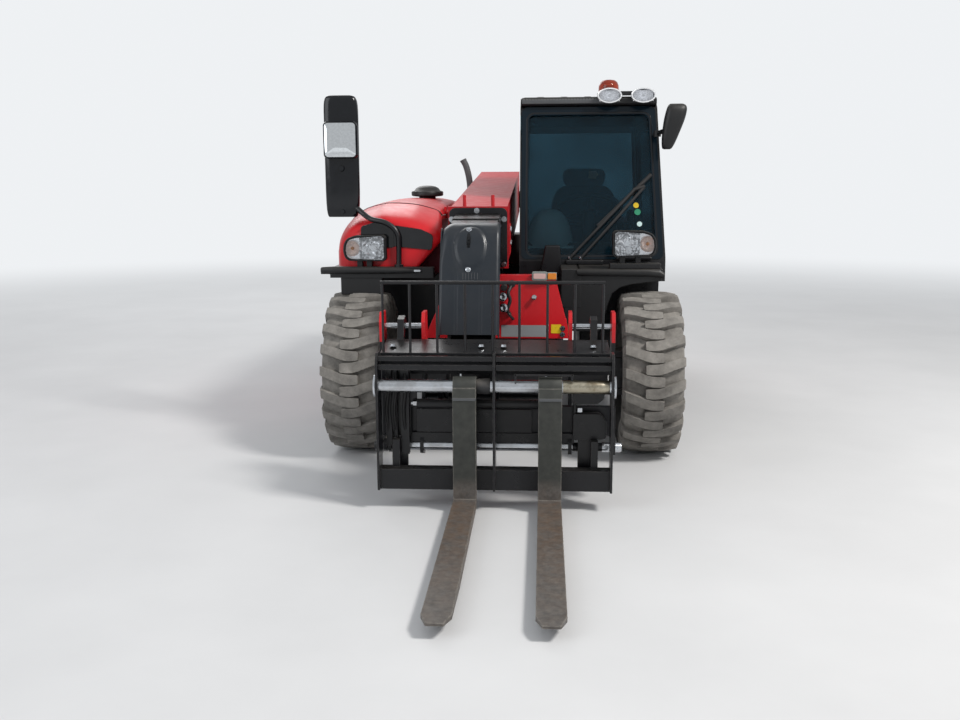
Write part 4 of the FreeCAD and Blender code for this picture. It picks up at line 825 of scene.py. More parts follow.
def make_cover():
    line = [Vector((0, y, z)) for y, z in smooth_rows(COVER_FACE, 14)]
    lengths = [0.0]
    for a, b in zip(line, line[1:]):
        lengths.append(lengths[-1] + (b - a).length)
    shares = [length / lengths[-1] for length in lengths]

    def on_face(i, x, share, depth=0.0, narrow=1.0):
        """Point under the face at row i, and the way out of the face."""
        ahead = line[min(i + 1, len(line) - 1)] - line[max(i - 1, 0)]
        out = Vector((0, ahead.z, -ahead.y)).normalized()
        return at(COVER_X + x * narrow, line[i].y, line[i].z) - out * (cover_drop(x, share) + depth), out

    def at_height(height, depth=0.0):
        i = min(range(11, len(line)), key=lambda k: abs(line[k].z - height))
        return on_face(i, -0.006, shares[i], depth)

    def at_share(share, x):
        return on_face(min(range(len(line)), key=lambda k: abs(shares[k] - share)), x, share)[0]

    cover = Form().skin([[on_face(i, x, share)[0] for x in COVER_COLUMNS]
                         + [on_face(i, x, share, COVER_WALL, 0.975)[0] for x in COVER_COLUMNS[::-1]]
                         for i, share in enumerate(shares)])
    # flanges that run back along both sides
    for side in (-1, 1):
        x0, x1 = (COVER_X + side * (COVER_HALF - inside) for inside in (0.0005, 0.006))
        cover.skin([[(x0, p.y + 0.012, p.z - 0.014), (x1, p.y + 0.012, p.z - 0.014), (x1, p.y + 0.040, p.z - 0.020),
                     (x0, p.y + 0.040, p.z - 0.020)] for p in line[18:]])
    cover.make("cover_skin", "cover_plastic", "extension", smooth=50, replaced=("head_cover",))

    bolts, slot, louvres = Form(), Form(), Form()
    for height in (1.180, 0.999):
        bolts.lathe(*at_height(height), [(0.0, 0.013), (0.004, 0.0125), (0.005, 0.009), (0.010, 0.008), (0.011, 0.0)], 20)
    bolts.make("cover_bolts", "bright_steel", "extension", smooth=40)
    for k in range(13):
        foot, out = at_height(1.160 - 0.0045 * k, -0.0005)
        slot.rod(foot, foot + out * 0.0015, 0.0095 - 0.00009 * (k - 6) ** 2, 20)
    slot.make("cover_slot", "gloss_black", "extension", smooth=40)
    for x in (-0.030 + 0.0135 * k for k in range(6)):
        a, b = at_share(0.535, x), at_share(0.585, x)
        louvres.tube([a, a.lerp(b, 0.5), b], 0.0022, 8, 3)
    louvres.make("cover_louvres", "cover_plastic", "extension", smooth=40)


# Lamps

# Front lamp's outline: distance out from its inner edge, height over its foot
LAMP_OUTLINE = [(0, 0.012), (0.012, 0), (0.195, 0.002), (0.217, 0.018), (0.226, 0.052), (0.222, 0.088), (0.205, 0.118),
                (0.160, 0.134), (0.014, 0.136), (0, 0.124)]
LAMP_ROUND = [0.012, 0.012, 0.03, 0.03, 0.05, 0.05, 0.04, 0.08, 0.014, 0.014]
# inner edge x, foot z, side, front y, rear y, distances out and foot z of the brackets
LAMP_PLACES = ((-0.606, 1.003, -1, -0.070, -0.004, (0.080, 0.130), 0.972),
               (0.558, 1.022, 1, -0.050, 0.024, (0.040, 0.120), 0.988))
# half width, half height and y of each ring of a work lamp
WORK_HOUSING = ((0.020, 0.012, 0.404), (0.048, 0.028, 0.396), (0.062, 0.037, 0.375), (0.066, 0.040, 0.345),
                (0.060, 0.034, 0.345), (0.055, 0.030, 0.375))
WORK_RIM = ((0.066, 0.040, 0.346), (0.066, 0.040, 0.334), (0.0645, 0.0385, 0.330), (0.059, 0.034, 0.330),
            (0.057, 0.032, 0.336), (0.057, 0.032, 0.346))
WORK_PANE = ((0.058, 0.033, 0.336), (0.045, 0.025, 0.3325), (0.02, 0.011, 0.331))
WORK_LAMP_Z = 1.858


def reflector(form, rows, columns, low, high, floor_y, rise, jitter):
    """Shallow bowl of small tilted facets between two corners (x, z)."""
    points = {}
    for i in range(columns + 1):
        for j in range(rows + 1):
            u, v = i / columns, j / rows
            points[i, j] = at(low[0] + (high[0] - low[0]) * u,
                              floor_y - rise * ((u - 0.5) ** 2 + (v - 0.5) ** 2) + random.uniform(-jitter, jitter),
                              low[1] + (high[1] - low[1]) * v)
    for i in range(columns):
        for j in range(rows):
            a, b, c, d = points[i, j], points[i + 1, j], points[i + 1, j + 1], points[i, j + 1]
            peak = (a + b + c + d) / 4 + Vector((0, random.uniform(-jitter, jitter), 0))
            form.add([a, b, c, d, peak], [(0, 1, 4), (1, 2, 4), (2, 3, 4), (3, 0, 4)])


def make_head_lamps():
    housings, shine, copper, glow, panes = (Form() for _ in range(5))
    for inner_x, low, side, y0, y1, brackets, bracket_z in LAMP_PLACES:
        outline = fillet([(inner_x + side * x, low + z) for x, z in LAMP_OUTLINE], LAMP_ROUND, 4)

        def rings(*pairs):
            return [upright(inset(outline, depth), y) for depth, y in pairs]

        housings.skin(rings((0.030, y1), (0.008, y1 - 0.012), (0.0, y1 - 0.030), (0.0, y0 + 0.004), (0.003, y0),
                            (0.009, y0), (0.014, y0 + 0.006), (0.014, y1 - 0.020)))
        panes.skin(rings((0.009, y0 + 0.003), (0.014, y0 - 0.003), (0.028, y0 - 0.006)))
        split = inner_x + side * 0.142
        left, right = sorted((inner_x + side * 0.012, split))
        reflector(shine, 9, 11, (left, low + 0.010), (right, low + 0.126), y0 + 0.030, 0.044, 0.0024)
        bulb_x = inner_x + side * 0.076
        shine.rod((bulb_x, y0 + 0.034, low + 0.068), (bulb_x, y0 + 0.012, low + 0.068), 0.011, 16)
        # inner wall all round and behind, bright with the reflector's painted glow
        shine.skin(rings((0.0135, y0 + 0.004), (0.017, y0 + 0.030)), caps=False)
        shine.skin(rings((0.016, y0 + 0.0335), (0.016, y0 + 0.0345)))
        # turn signal part: smooth bowl with an amber bulb
        centre = (inner_x + side * 0.180, y0 + 0.033, low + 0.066)
        copper.lathe(centre, (0, -1, 0), [(0.0, 0.006), (0.002, 0.016), (0.010, 0.028), (0.024, 0.037), (0.030, 0.041)], 28,
                     caps=False)
        glow.lathe(centre, (0, -1, 0), [(0.0, 0.007), (0.008, 0.010), (0.016, 0.008), (0.020, 0.0)], 20)
        shine.box((split - 0.002, y0 + 0.008, low + 0.008), (split + 0.002, y0 + 0.033, low + 0.128))
        for reach in brackets:
            left, right = sorted((inner_x + side * reach, inner_x + side * (reach + 0.026)))
            housings.box((left, y0 + 0.020, bracket_z), (right, y1 - 0.008, low + 0.006))
    housings.make("lamp_housings", "dark_plastic", smooth=35, replaced=("headlights",))
    shine.make("lamp_reflectors", "reflector")
    copper.make("lamp_signals", "signal_bowl", smooth=60)
    glow.make("lamp_bulbs", "signal_bulb", smooth=40)
    panes.make("lamp_panes", "clear_lens", smooth=50)


def make_top_lamps():
    housings, rims, shine, panes = (Form() for _ in range(4))
    for cx in (0.555, 0.735):
        for form, rows in ((housings, WORK_HOUSING), (rims, WORK_RIM), (panes, WORK_PANE)):
            form.skin([[(cx + rx * math.cos(a), y, WORK_LAMP_Z + rz * math.sin(a)) for a in around(48)] for rx, rz, y in rows],
                      caps=form is not rims)
        reflector(shine, 6, 10, (cx - 0.054, WORK_LAMP_Z - 0.029), (cx + 0.054, WORK_LAMP_Z + 0.029), 0.370, 0.040, 0.003)
        shine.rod((cx, 0.364, WORK_LAMP_Z), (cx, 0.345, WORK_LAMP_Z), 0.009, 16)
    housings.box((0.520, 0.386, 1.862), (0.770, 0.400, 1.884))
    housings.make("work_lamp_housings", "dark_plastic", smooth=40, replaced=("work_lights",))
    rims.make("work_lamp_rims", "reflector", smooth=40)
    shine.make("work_lamp_reflectors", "satin_reflector")
    panes.make("work_lamp_panes", "clear_lens", smooth=50)

    low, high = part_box("beacon")
    centre = Vector(((low.x + high.x) / 2 + 0.008, (low.y + high.y) / 2, low.z))
    dome, foot = Form(), Form()
    dome.lathe(centre, (0, 0, 1), [(0.028, 0.055), (0.032, 0.0585), (0.062, 0.057), (0.080, 0.050), (0.091, 0.037),
                                   (0.0945, 0.018), (0.095, 0.0)])
    dome.make("beacon_dome", "beacon_lens", smooth=50, replaced=("beacon",))
    foot.lathe(centre, (0, 0, 1), [(-0.022, 0.060), (0.003, 0.066), (0.020, 0.066), (0.026, 0.060), (0.0285, 0.056)])
    foot.rod(centre + Vector((0, 0, 0.026)), centre + Vector((0, 0, 0.062)), 0.022, 20)
    foot.make("beacon_foot", "dark_plastic", smooth=40)


# Mirrors

# Housings by height: z, x of the middle, half width, half depth
MIRROR_RIGHT = [(1.228, -0.853, 0.060, 0.018), (1.234, -0.851, 0.078, 0.026), (1.30, -0.849, 0.088, 0.030),
                (1.50, -0.848, 0.0895, 0.030), (1.70, -0.847, 0.0895, 0.030), (1.80, -0.847, 0.088, 0.030),
                (1.838, -0.848, 0.078, 0.027), (1.849, -0.849, 0.062, 0.016)]
MIRROR_LEFT = [(1.570, 0.853, 0.016, 0.012), (1.578, 0.854, 0.026, 0.022), (1.610, 0.861, 0.036, 0.030),
               (1.659, 0.872, 0.045, 0.036), (1.720, 0.887, 0.053, 0.040), (1.770, 0.898, 0.053, 0.038),
               (1.794, 0.900, 0.046, 0.028), (1.803, 0.897, 0.034, 0.014)]


def make_mirrors():
    body = Form().skin([oval(x, 0.060, z, half, deep, 0.45, 0.6) for z, x, half, deep in smooth_rows(MIRROR_RIGHT, 3)])
    small = rounded((-0.934, 1.528), (-0.757, 1.716), 0.022, 6)
    body.skin([upright(small, 0.032), upright(small, 0.012), upright(inset(small, 0.004), 0.006)])
    body.rod((-0.845, 0.032, 1.478), (-0.845, 0.016, 1.478), 0.017, 24, 0.013)
    body.rod((-0.845, 0.032, 1.255), (-0.845, 0.018, 1.255), 0.012, 20, 0.010)
    body.make("mirror_housing", "gloss_black", smooth=45, replaced=("mirror_right",))
    tube = Form().tube([(-0.546, -0.030, 0.960), (-0.545, -0.030, 1.10), (-0.551, -0.030, 1.140), (-0.573, -0.029, 1.174),
                        (-0.620, -0.026, 1.202), (-0.687, -0.008, 1.216), (-0.732, 0.025, 1.240), (-0.775, 0.048, 1.272),
                        (-0.815, 0.058, 1.285)], 0.0140, 20)
    tube.rod((-0.546, -0.030, 0.968), (-0.546, -0.030, 0.984), 0.024).make("mirror_tube", "black_paint", smooth=40)
    face = rounded((-0.926, 1.536), (-0.765, 1.708), 0.018, 6)
    pane = Form().skin([upright(inset(face, depth), y) for depth, y in ((0.0, 0.0055), (0.012, 0.0035), (0.035, 0.0015), (0.060, 0.0005))])
    pane.make("mirror_pane", "mirror_glass", smooth=50)

    left = Form().skin([oval(x, 0.233, z, half, deep, 0.6, 0.7) for z, x, half, deep in smooth_rows(MIRROR_LEFT, 3)])
    left.tube([(0.800, 0.428, 1.650), (0.806, 0.370, 1.652), (0.822, 0.300, 1.66), (0.835, 0.250, 1.665)], 0.012, 18, 6)
    left.box((0.792, 0.395, 1.630), (0.808, 0.425, 1.672)).rod((0.812, 0.330, 1.640), (0.812, 0.330, 1.672), 0.020, 20)
    left.make("mirror_left_housing", "dark_plastic", smooth=45, replaced=("mirror_left",))


# Front panel with its lamp, marks and hydraulic couplers

PANEL_Y = -0.4025
PANEL_TOP = 0.962
PANEL_OUTLINE = fillet([(-0.371, 0.655), (0.338, 0.655), (0.322, 0.725), (0.272, 0.918), (0.258, PANEL_TOP), (-0.290, PANEL_TOP),
                        (-0.290, PANEL_TOP - 0.122)], [0.006, 0.006, 0.02, 0.02, 0.008, 0.008, 0.03], 4)


def tablet(name, slot, low, high, radius, start, end, steps=5, **looks):
    """Piece of one flat round-cornered plate between two distances from the axle."""
    return Form().plate(rounded(low, high, radius, steps), "y", start, end).make(name, slot, **looks)


def make_front_panel():
    sheet = Form().plate(PANEL_OUTLINE, "y", PANEL_Y + 0.0005, -0.388)
    sheet.box((-0.286, PANEL_Y + 0.004, PANEL_TOP - 0.008), (0.254, -0.343, PANEL_TOP))
    sheet.make("panel_sheet", "red_paint", smooth=30, bevel=0.002, replaced=("front_panel",))
    tablet("panel_band", "grey_band", (0.004, 0.663), (0.226, 0.720), 0.003, PANEL_Y - 0.0008, PANEL_Y, 2)
    tablet("panel_mark", "yellow_mark", (0.245, 0.681), (0.293, 0.724), 0.003, PANEL_Y - 0.0008, PANEL_Y, 2)
    lamp = Form().plate(rounded((0.151, 0.938), (0.224, 0.980), 0.008), "y", PANEL_Y - 0.022, PANEL_Y + 0.004)
    lamp.box((0.224, PANEL_Y - 0.014, 0.941), (0.270, PANEL_Y + 0.004, 0.976))
    lamp.make("panel_lamp", "grey_trim", smooth=30, bevel=0.003)
    tablet("panel_amber", "amber_lens", (0.227, 0.944), (0.268, 0.973), 0.004, PANEL_Y - 0.022, PANEL_Y - 0.012, smooth=30, bevel=0.002)
    tablet("panel_red_lens", "pale_lens", (0.158, 0.946), (0.217, 0.972), 0.006, PANEL_Y - 0.0245, PANEL_Y - 0.020, smooth=30, bevel=0.002)
    knob = Form().lathe((0.163, PANEL_Y, 0.858), (0, -1, 0), [(0.0, 0.010), (0.010, 0.010), (0.012, 0.008), (0.018, 0.013),
                                                             (0.024, 0.012), (0.027, 0.0)], 24)
    for z in (0.705, 0.675):
        knob.bolt((0.300, PANEL_Y, z), (0, -1, 0), 0.017)
    knob.make("panel_bolts", "bright_steel", smooth=30)
    # quick couplers beside the cover: bright sockets with black caps and their straps
    ports, caps, gussets = Form(), Form(), Form()
    for x, z in ((0.020, 0.858), (0.024, 0.805)):
        ports.lathe((x, PANEL_Y, z), (-0.15, -1, 0.1), [(0.0, 0.018), (0.030, 0.018), (0.030, 0.022), (0.044, 0.0225),
                                                       (0.050, 0.020), (0.052, 0.012), (0.046, 0.0)], 26)
    ports.make("quick_couplers", "bright_steel", smooth=35)
    for x, z in ((0.018, 0.905), (0.056, 0.922)):
        caps.lathe((x, PANEL_Y, z), (0, -1, 0), [(0.0, 0.017), (0.030, 0.017), (0.034, 0.014), (0.035, 0.0)], 26)
    caps.tube([(0.058, PANEL_Y - 0.020, 0.920), (0.040, PANEL_Y - 0.045, 0.884), (0.048, PANEL_Y - 0.045, 0.846),
               (0.036, PANEL_Y - 0.040, 0.800), (0.046, PANEL_Y - 0.004, 0.775)], 0.0085, 12, 6)
    caps.tube([(0.030, PANEL_Y - 0.004, 0.790), (0.044, PANEL_Y - 0.030, 0.775), (0.062, PANEL_Y - 0.004, 0.750)], 0.007, 12, 6)
    caps.make("coupler_caps", "hose_rubber", smooth=35)
    # gussets from the panel to the chassis sides, painted with it
    for side in (-1, 1):
        gussets.plate([(-0.386, 0.660), (-0.386, 0.745), (-0.28, 0.740), (-0.24, 0.700), (-0.30, 0.665)], "x",
                      side * 0.305, side * 0.320)
    gussets.make("panel_gussets", "red_paint", smooth=30, bevel=0.002)


# Cab

STEER_X = 0.470
# the steering wheel leans towards the driver
STEER_LEAN = math.radians(30)
STEER_HUB = at(STEER_X, 0.752, 1.236)
# y, z round the roof from its lower front edge over the top and back below the skin
ROOF_PROFILE = [(0.436, 1.812), (0.400, 1.813), (0.391, 1.821), (0.390, 1.847), (0.399, 1.856), (0.470, 1.8635), (1.44, 1.8655),
                (1.515, 1.857), (1.525, 1.838), (1.500, 1.832), (1.450, 1.8595), (0.500, 1.8595)]
# seat back and head rest: height, middle's y, half width, half depth
SEAT_BACK = [(0.930, 1.395, 0.200, 0.040), (0.960, 1.398, 0.215, 0.046), (1.10, 1.420, 0.222, 0.048),
             (1.24, 1.448, 0.215, 0.044), (1.33, 1.466, 0.190, 0.038), (1.372, 1.474, 0.150, 0.030), (1.385, 1.477, 0.110, 0.018)]
HEAD_REST = [(1.375, 1.474, 0.060, 0.016), (1.385, 1.476, 0.120, 0.028), (1.43, 1.484, 0.140, 0.034),
             (1.478, 1.492, 0.130, 0.030), (1.492, 1.495, 0.095, 0.018)]


def cab_front_y(z):
    """Front face of the cab above its sill."""
    return 0.250 + 0.170 * (z - 0.980) / 0.820


def on_front(x, z, lift=0.0):
    """Point so far ahead of the cab's front face."""
    return at(x, cab_front_y(z) - lift, z)


def screen_ring(low, high, radius, lift):
    """Round-cornered ring on the cab's front face; its left side leans inwards with height."""
    return [on_front(x - (0.058 * max(0.0, z - 1.0) if x > 0.45 else 0.0), z, lift) for x, z in rounded(low, high, radius, 6)]


def on_wheel(reach, a):
    return STEER_HUB + Vector((reach * math.cos(a), -reach * math.sin(a) * math.cos(STEER_LEAN), reach * math.sin(a) * math.sin(STEER_LEAN)))


def make_windscreen():
    seal = [screen_ring((0.118 - grow, 1.012 - grow), (0.818 + grow, 1.768 + grow), 0.035 + grow, lift)
            for grow, lift in ((-0.004, -0.012), (-0.004, 0.004), (0.004, 0.007), (0.016, 0.005), (0.020, -0.004))]
    Form().skin(seal, caps=False).make("windscreen_seal", "gloss_black", smooth=60)
    # dark printed edge of the glued windscreen, from the opening out to the cab's corners
    inner, outer = ((0.122, 1.016), (0.814, 1.764)), ((0.084, 0.990), (0.852, 1.806))
    edge = [screen_ring(*corners, 0.030, lift) for corners, lift in ((inner, -0.004), (inner, 0.006), (outer, 0.006), (outer, -0.002))]
    Form().skin(edge, caps=False).make("windscreen_edge", "pane_edge", smooth=40)
    # blank round stickers on the glass
    for name, x, z, radius in (("yellow_mark", 0.707, 1.276, 0.015), ("green_mark", 0.715, 1.240, 0.017), ("pale_mark", 0.726, 1.176, 0.014)):
        foot = on_front(x, z, -0.0120)
        Form().rod(foot, foot + Vector((0, -0.0016, 0.00033)), radius, 28).make("sticker_" + name, name)

    # wiper: motor pivots, two parallel arms and the blade
    pivots, arms = Form(), Form()
    for x in (0.349, 0.409):
        pivots.lathe(on_front(x, 0.996, 0.006), (0, -1, 0.1), [(0.0, 0.012), (0.012, 0.012), (0.016, 0.009), (0.020, 0.0)], 20)
    pivots.make("wiper_pivots", "bright_steel", smooth=40)
    for start, end, bow, radius, steps in ((on_front(0.349, 0.996, 0.020), on_front(0.700, 1.366, 0.030), 0.010, 0.0085, 6),
                                           (on_front(0.409, 0.996, 0.020), on_front(0.745, 1.372, 0.030), 0.010, 0.0085, 6),
                                           (on_front(0.500, 1.165, 0.008), on_front(0.785, 1.44, 0.008), 0.008, 0.0115, 8)):
        arms.tube([start, start.lerp(end, 0.5) - Vector((0, bow, 0)), end], radius, 12, steps)
    arms.rod((0.690, cab_front_y(1.366) - 0.030, 1.360), (0.750, cab_front_y(1.372) - 0.030, 1.376), 0.010, 12)
    arms.make("wiper_arms", "hose_rubber", smooth=40)


def make_roof():
    roof, ribs = Form(), Form()
    rings = []
    for x, drop in ((0.079, 0.010), (0.083, 0.003), (0.100, 0.0), (0.792, 0.0), (0.808, 0.003), (0.812, 0.010)):
        rings.append([(x, y, z - (drop if 3 <= i < 7 else 0.0)) for i, (y, z) in enumerate(ROOF_PROFILE)])
    roof.skin(rings)
    for x in (0.16 + 0.13 * k for k in range(5)):
        roof.plate([(x, 1.862), (x + 0.05, 1.862), (x + 0.042, 1.870), (x + 0.008, 1.870)], "y", 0.52, 1.40)
    roof.make("roof_skin", "dark_plastic", smooth=30, bevel=0.002, replaced=("cab_roof",))
    for x in (0.092 + 0.0162 * k for k in range(27)):
        ribs.plate([(0.3905, 1.822), (0.3855, 1.826), (0.3855, 1.842), (0.3905, 1.848)], "x", x, x + 0.007)
    ribs.box((0.085, 0.3885, 1.8225), (0.528, 0.3915, 1.8455)).make("roof_lip", "engine_iron", smooth=30)


def make_cab_inside():
    dash = Form()
    rings = []
    for rise in (math.radians(90 * k / 12) for k in range(13)):
        wide = max(0.02, math.cos(rise) ** 0.75)
        rings.append(oval(0.240, 0.455, 1.050 + 0.205 * math.sin(rise), 0.130 * wide, 0.120 * wide, 0.8, 0.8))
    # the dome's pale finish is painted light
    dash.skin(rings).box((0.112, 0.345, 1.035), (0.372, 0.570, 1.056)).make("console_dome", "dome_grey_lit", smooth=50)

    controls, levers = Form(), Form()
    up = Vector((0, math.sin(STEER_LEAN), math.cos(STEER_LEAN)))
    rings = []
    for rim in (on_wheel(0.186, a) for a in around(48)):
        out = (rim - STEER_HUB).normalized() * 0.0165
        rings.append([rim + out * math.cos(b) + up * 0.0165 * math.sin(b) for b in around(14)])
    controls.skin(rings + [rings[0]], caps=False)
    controls.lathe(STEER_HUB - up * 0.026, up, [(0.0, 0.050), (0.020, 0.052), (0.030, 0.044), (0.034, 0.0)], 32)
    for turn in (90, 210, 330):
        controls.rod(STEER_HUB, on_wheel(0.180, math.radians(turn)), 0.013, 12, 0.009)
    controls.tube([(STEER_X, 0.640, 0.655), (STEER_X, 0.680, 0.86), (STEER_X, 0.722, 1.08), (STEER_X, 0.744, 1.222)], 0.034, 24, 6)
    controls.tube([(STEER_X - 0.04, 0.728, 1.150), (STEER_X - 0.13, 0.700, 1.176), (STEER_X - 0.19, 0.690, 1.192)], 0.005, 10, 5)
    controls.make("steering_wheel", "dark_plastic", smooth=45, replaced=("steering_column",))
    levers.tube([(0.745, 1.05, 0.99), (0.738, 1.02, 1.09), (0.735, 0.99, 1.17)], 0.009, 12, 5)
    levers.lathe((0.735, 0.990, 1.160), (0, -0.2, 1), [(0.0, 0.014), (0.02, 0.022), (0.055, 0.024), (0.075, 0.016), (0.082, 0.0)], 24)
    levers.box((0.705, 0.97, 0.945), (0.785, 1.36, 0.990))
    for x in (0.395, 0.560):
        levers.box((x, 0.600, 0.700), (x + 0.07, 0.612, 0.790)).rod((x + 0.035, 0.612, 0.745), (x + 0.035, 0.690, 0.660), 0.008, 12)
    levers.make("cab_levers", "dark_plastic", smooth=35, bevel=0.006)

    cushion = fillet([(0.955, 0.850), (0.955, 0.950), (1.35, 0.962), (1.43, 0.930), (1.43, 0.850)], [0.02, 0.05, 0.03, 0.03, 0.01])
    seat = Form().plate(cushion, "x", 0.235, 0.248, 0.692, 0.705).box((0.28, 1.01, 0.655), (0.66, 1.40, 0.852))
    for rows in (SEAT_BACK, HEAD_REST):
        seat.skin([oval(STEER_X, y, z, half, deep, 0.5, 0.7, 36, 0.014) for z, y, half, deep in smooth_rows(rows, 3)])
    seat.make("driver_seat", "seat_cover", smooth=50, bevel=0.006, replaced=("seat",))
    tag = Form().plate([(0.496, 1.430), (0.545, 1.424), (0.560, 1.452), (0.548, 1.478), (0.500, 1.474)], "y", 1.438, 1.441)
    tag.make("seat_tag", "orange_mark")


def make_cab():
    make_windscreen()
    make_roof()
    # sill: cowl, black boxes and the bright step edge
    sill = Form().plate([(0.187, 0.905), (0.312, 0.905), (0.295, 1.066), (0.214, 1.066)], "y", 0.205, 0.262)
    sill.boxes(((0.325, 0.215, 0.960), (0.530, 0.258, 0.988)), ((0.600, 0.225, 0.985), (0.790, 0.262, 1.006)))
    sill.make("cab_cowl", "black_paint", smooth=30, bevel=0.008)
    tablet("guard_bar", "bright_steel", (0.716, 0.944), (0.806, 0.9545), 0.003, -0.066, -0.058, 3, smooth=30)
    make_cab_inside()
    grip = Form().tube([(0.862, 0.668, 1.060), (0.884, 0.672, 1.075), (0.884, 0.690, 1.130), (0.880, 0.708, 1.22),
                        (0.857, 0.712, 1.235)], 0.009, 14, 6)
    grip.plate(rounded((0.955, 0.930), (1.070, 0.975), 0.012), "x", 0.864, 0.871)
    grip.tube([(0.868, 0.69, 0.952), (0.882, 0.70, 0.952), (0.884, 0.755, 0.952)], 0.007, 12, 5)
    grip.make("door_handle", "dark_plastic", "cab_door", smooth=40)


# Carriage, coupler and forks

PIN_Y, PIN_Z = -0.900, 0.250
SHAFT_Y, SHAFT_Z = -1.020, 0.545
GUARD_RODS_X = (-0.478, -0.3615, -0.245, -0.1255, -0.008, 0.106, 0.2245, 0.340, 0.458)


def make_pins():
    bolts = Form()
    # on the shelf and its front edge
    for x in (-0.445, -0.060, 0.037, 0.421):
        bolts.bolt((x, -0.930, 0.7005), (0, 0.15, 0.99), 0.019, 0.010)
    for x in (-0.22, 0.22):
        bolts.bolt((x, -0.9855, 0.655), (0, -1, 0), 0.012, 0.006)
    # upper shafts between the ears, and the lock pin's bare length with its drilled end
    for x0, x1 in ((-0.508, -0.336), (0.336, 0.508)):
        bolts.rod((x0, -0.750, 0.766), (x1, -0.750, 0.766), 0.0118)
    bolts.rod((-0.382, PIN_Y, PIN_Z), (0.338, PIN_Y, PIN_Z), 0.0208, 32)
    bolts.lathe((0.468, PIN_Y, PIN_Z), (1, 0, 0), [(0.0, 0.0195), (0.0, 0.0215), (0.080, 0.0215), (0.084, 0.020),
                                                   (0.0845, 0.012), (0.070, 0.011), (0.070, 0.0)], 32)
    bolts.rod((0.539, -0.925, PIN_Z), (0.539, -0.875, PIN_Z), 0.005, 14).make("carriage_bolts", "bright_steel", "coupler", smooth=30)


def make_lock():
    lock, hoses = Form(), Form()
    # nuts on the lock pin's left end and the guides that the pin runs through
    for x0, x1, radius in ((-0.500, -0.482, 0.030), (-0.478, -0.462, 0.033)):
        lock.rod((x0, PIN_Y, PIN_Z), (x1, PIN_Y, PIN_Z), radius, 6)
    for low, high in (((-0.456, 0.130), (-0.386, 0.290)), ((0.360, 0.110), (0.428, 0.305))):
        lock.plate(rounded(low, high, 0.012), "y", -0.946, -0.926)
    # rounded casting under the right end of the fork shaft, and the plates beside it
    lock.plate(fillet([(0.338, 0.295), (0.482, 0.300), (0.486, 0.372), (0.455, 0.412), (0.338, 0.412)],
                      [0.01, 0.02, 0.03, 0.03, 0.01]), "y", -0.955, -0.905)
    lock.plate(fillet([(0.335, 0.455), (0.440, 0.455), (0.468, 0.475), (0.474, 0.505), (0.335, 0.505)],
                      [0.01, 0.03, 0.02, 0.01, 0.01]), "y", -0.955, -0.925)
    lock.box((0.340, -0.940, 0.400), (0.352, -0.920, 0.470))
    for x0, x1, low in ((-0.478, -0.452, 0.262), (-0.442, -0.428, 0.300), (-0.414, -0.376, 0.225)):
        lock.box((x0, -0.958, low), (x1, -0.930, 0.604))
    lock.boxes(((-0.500, -0.928, 0.300), (-0.372, -0.924, 0.604)), ((-0.384, -0.912, 0.268), (0.345, -0.904, 0.312)),
               ((-0.386, -0.922, 0.430), (-0.345, -0.914, 0.520)))
    lock.make("lock_guides", "black_paint", "coupler", smooth=35, bevel=0.002)
    Form().box((0.357, -0.965, 0.422), (0.377, -0.950, 0.441)).make("lock_stop", "bright_steel", "coupler", smooth=30, bevel=0.001)
    for x in (-0.470, -0.446, -0.436, -0.395):
        hoses.tube([(x, -0.948, 0.602), (x + 0.006, -0.968, 0.52), (x - 0.004, -0.968, 0.42), (x + 0.004, -0.944, 0.30)], 0.0075, 12, 6)
    hoses.make("carriage_hoses", "hose_rubber", "coupler", smooth=45)


def make_shaft_details():
    slats = Form()
    # upper bars between the side plates, over the shaft
    for y, low, high in ((-1.040, 0.618, 0.640), (-1.0395, 0.655, 0.676)):
        slats.boxes(((-0.495, y, low), (-0.006, y + 0.010, high)), ((0.006, y, low), (0.495, y + 0.010, high)))
    # thin bracket above the right part of the shaft
    slats.box((0.085, -1.052, 0.596), (0.335, -1.044, 0.604))
    for x in (0.087, 0.325):
        slats.box((x, -1.052, 0.575), (x + 0.008, -1.040, 0.604))
    slats.make("carriage_slats", "black_paint", "coupler", smooth=30, bevel=0.0015)
    for name, slot, x, profile in (
            ("shaft_collar", "cast_axle", -0.076,
             [(0.0, 0.0278), (0.0, 0.031), (0.016, 0.033), (0.052, 0.0345), (0.058, 0.0335), (0.060, 0.0278)]),
            ("shaft_grease", "greased_steel", 0.292,
             [(0.0, 0.0278), (0.0, 0.0287), (0.05, 0.0291), (0.12, 0.0286), (0.196, 0.0289), (0.198, 0.0278)])):
        Form().lathe((x, SHAFT_Y, SHAFT_Z), (1, 0, 0), profile, 40).make(name, slot, "coupler", smooth=40)
    for x, name in ((-0.125, "fork_right"), (0.238, "fork_left")):
        nipple = Form().lathe((x - 0.018, SHAFT_Y, 0.589), (0, 0, 1),
                              [(0.0, 0.006), (0.004, 0.006), (0.005, 0.004), (0.010, 0.004), (0.011, 0.002), (0.013, 0.0)], 14)
        nipple.make("grease_nipple_" + name, "bright_steel", name, smooth=40)
        ledge = Form().box((x - 0.050, -1.0830, 0.494), (x + 0.050, -1.0790, 0.506))
        ledge.make("fork_ledge_" + name, "engine_iron", name, smooth=30, bevel=0.001)


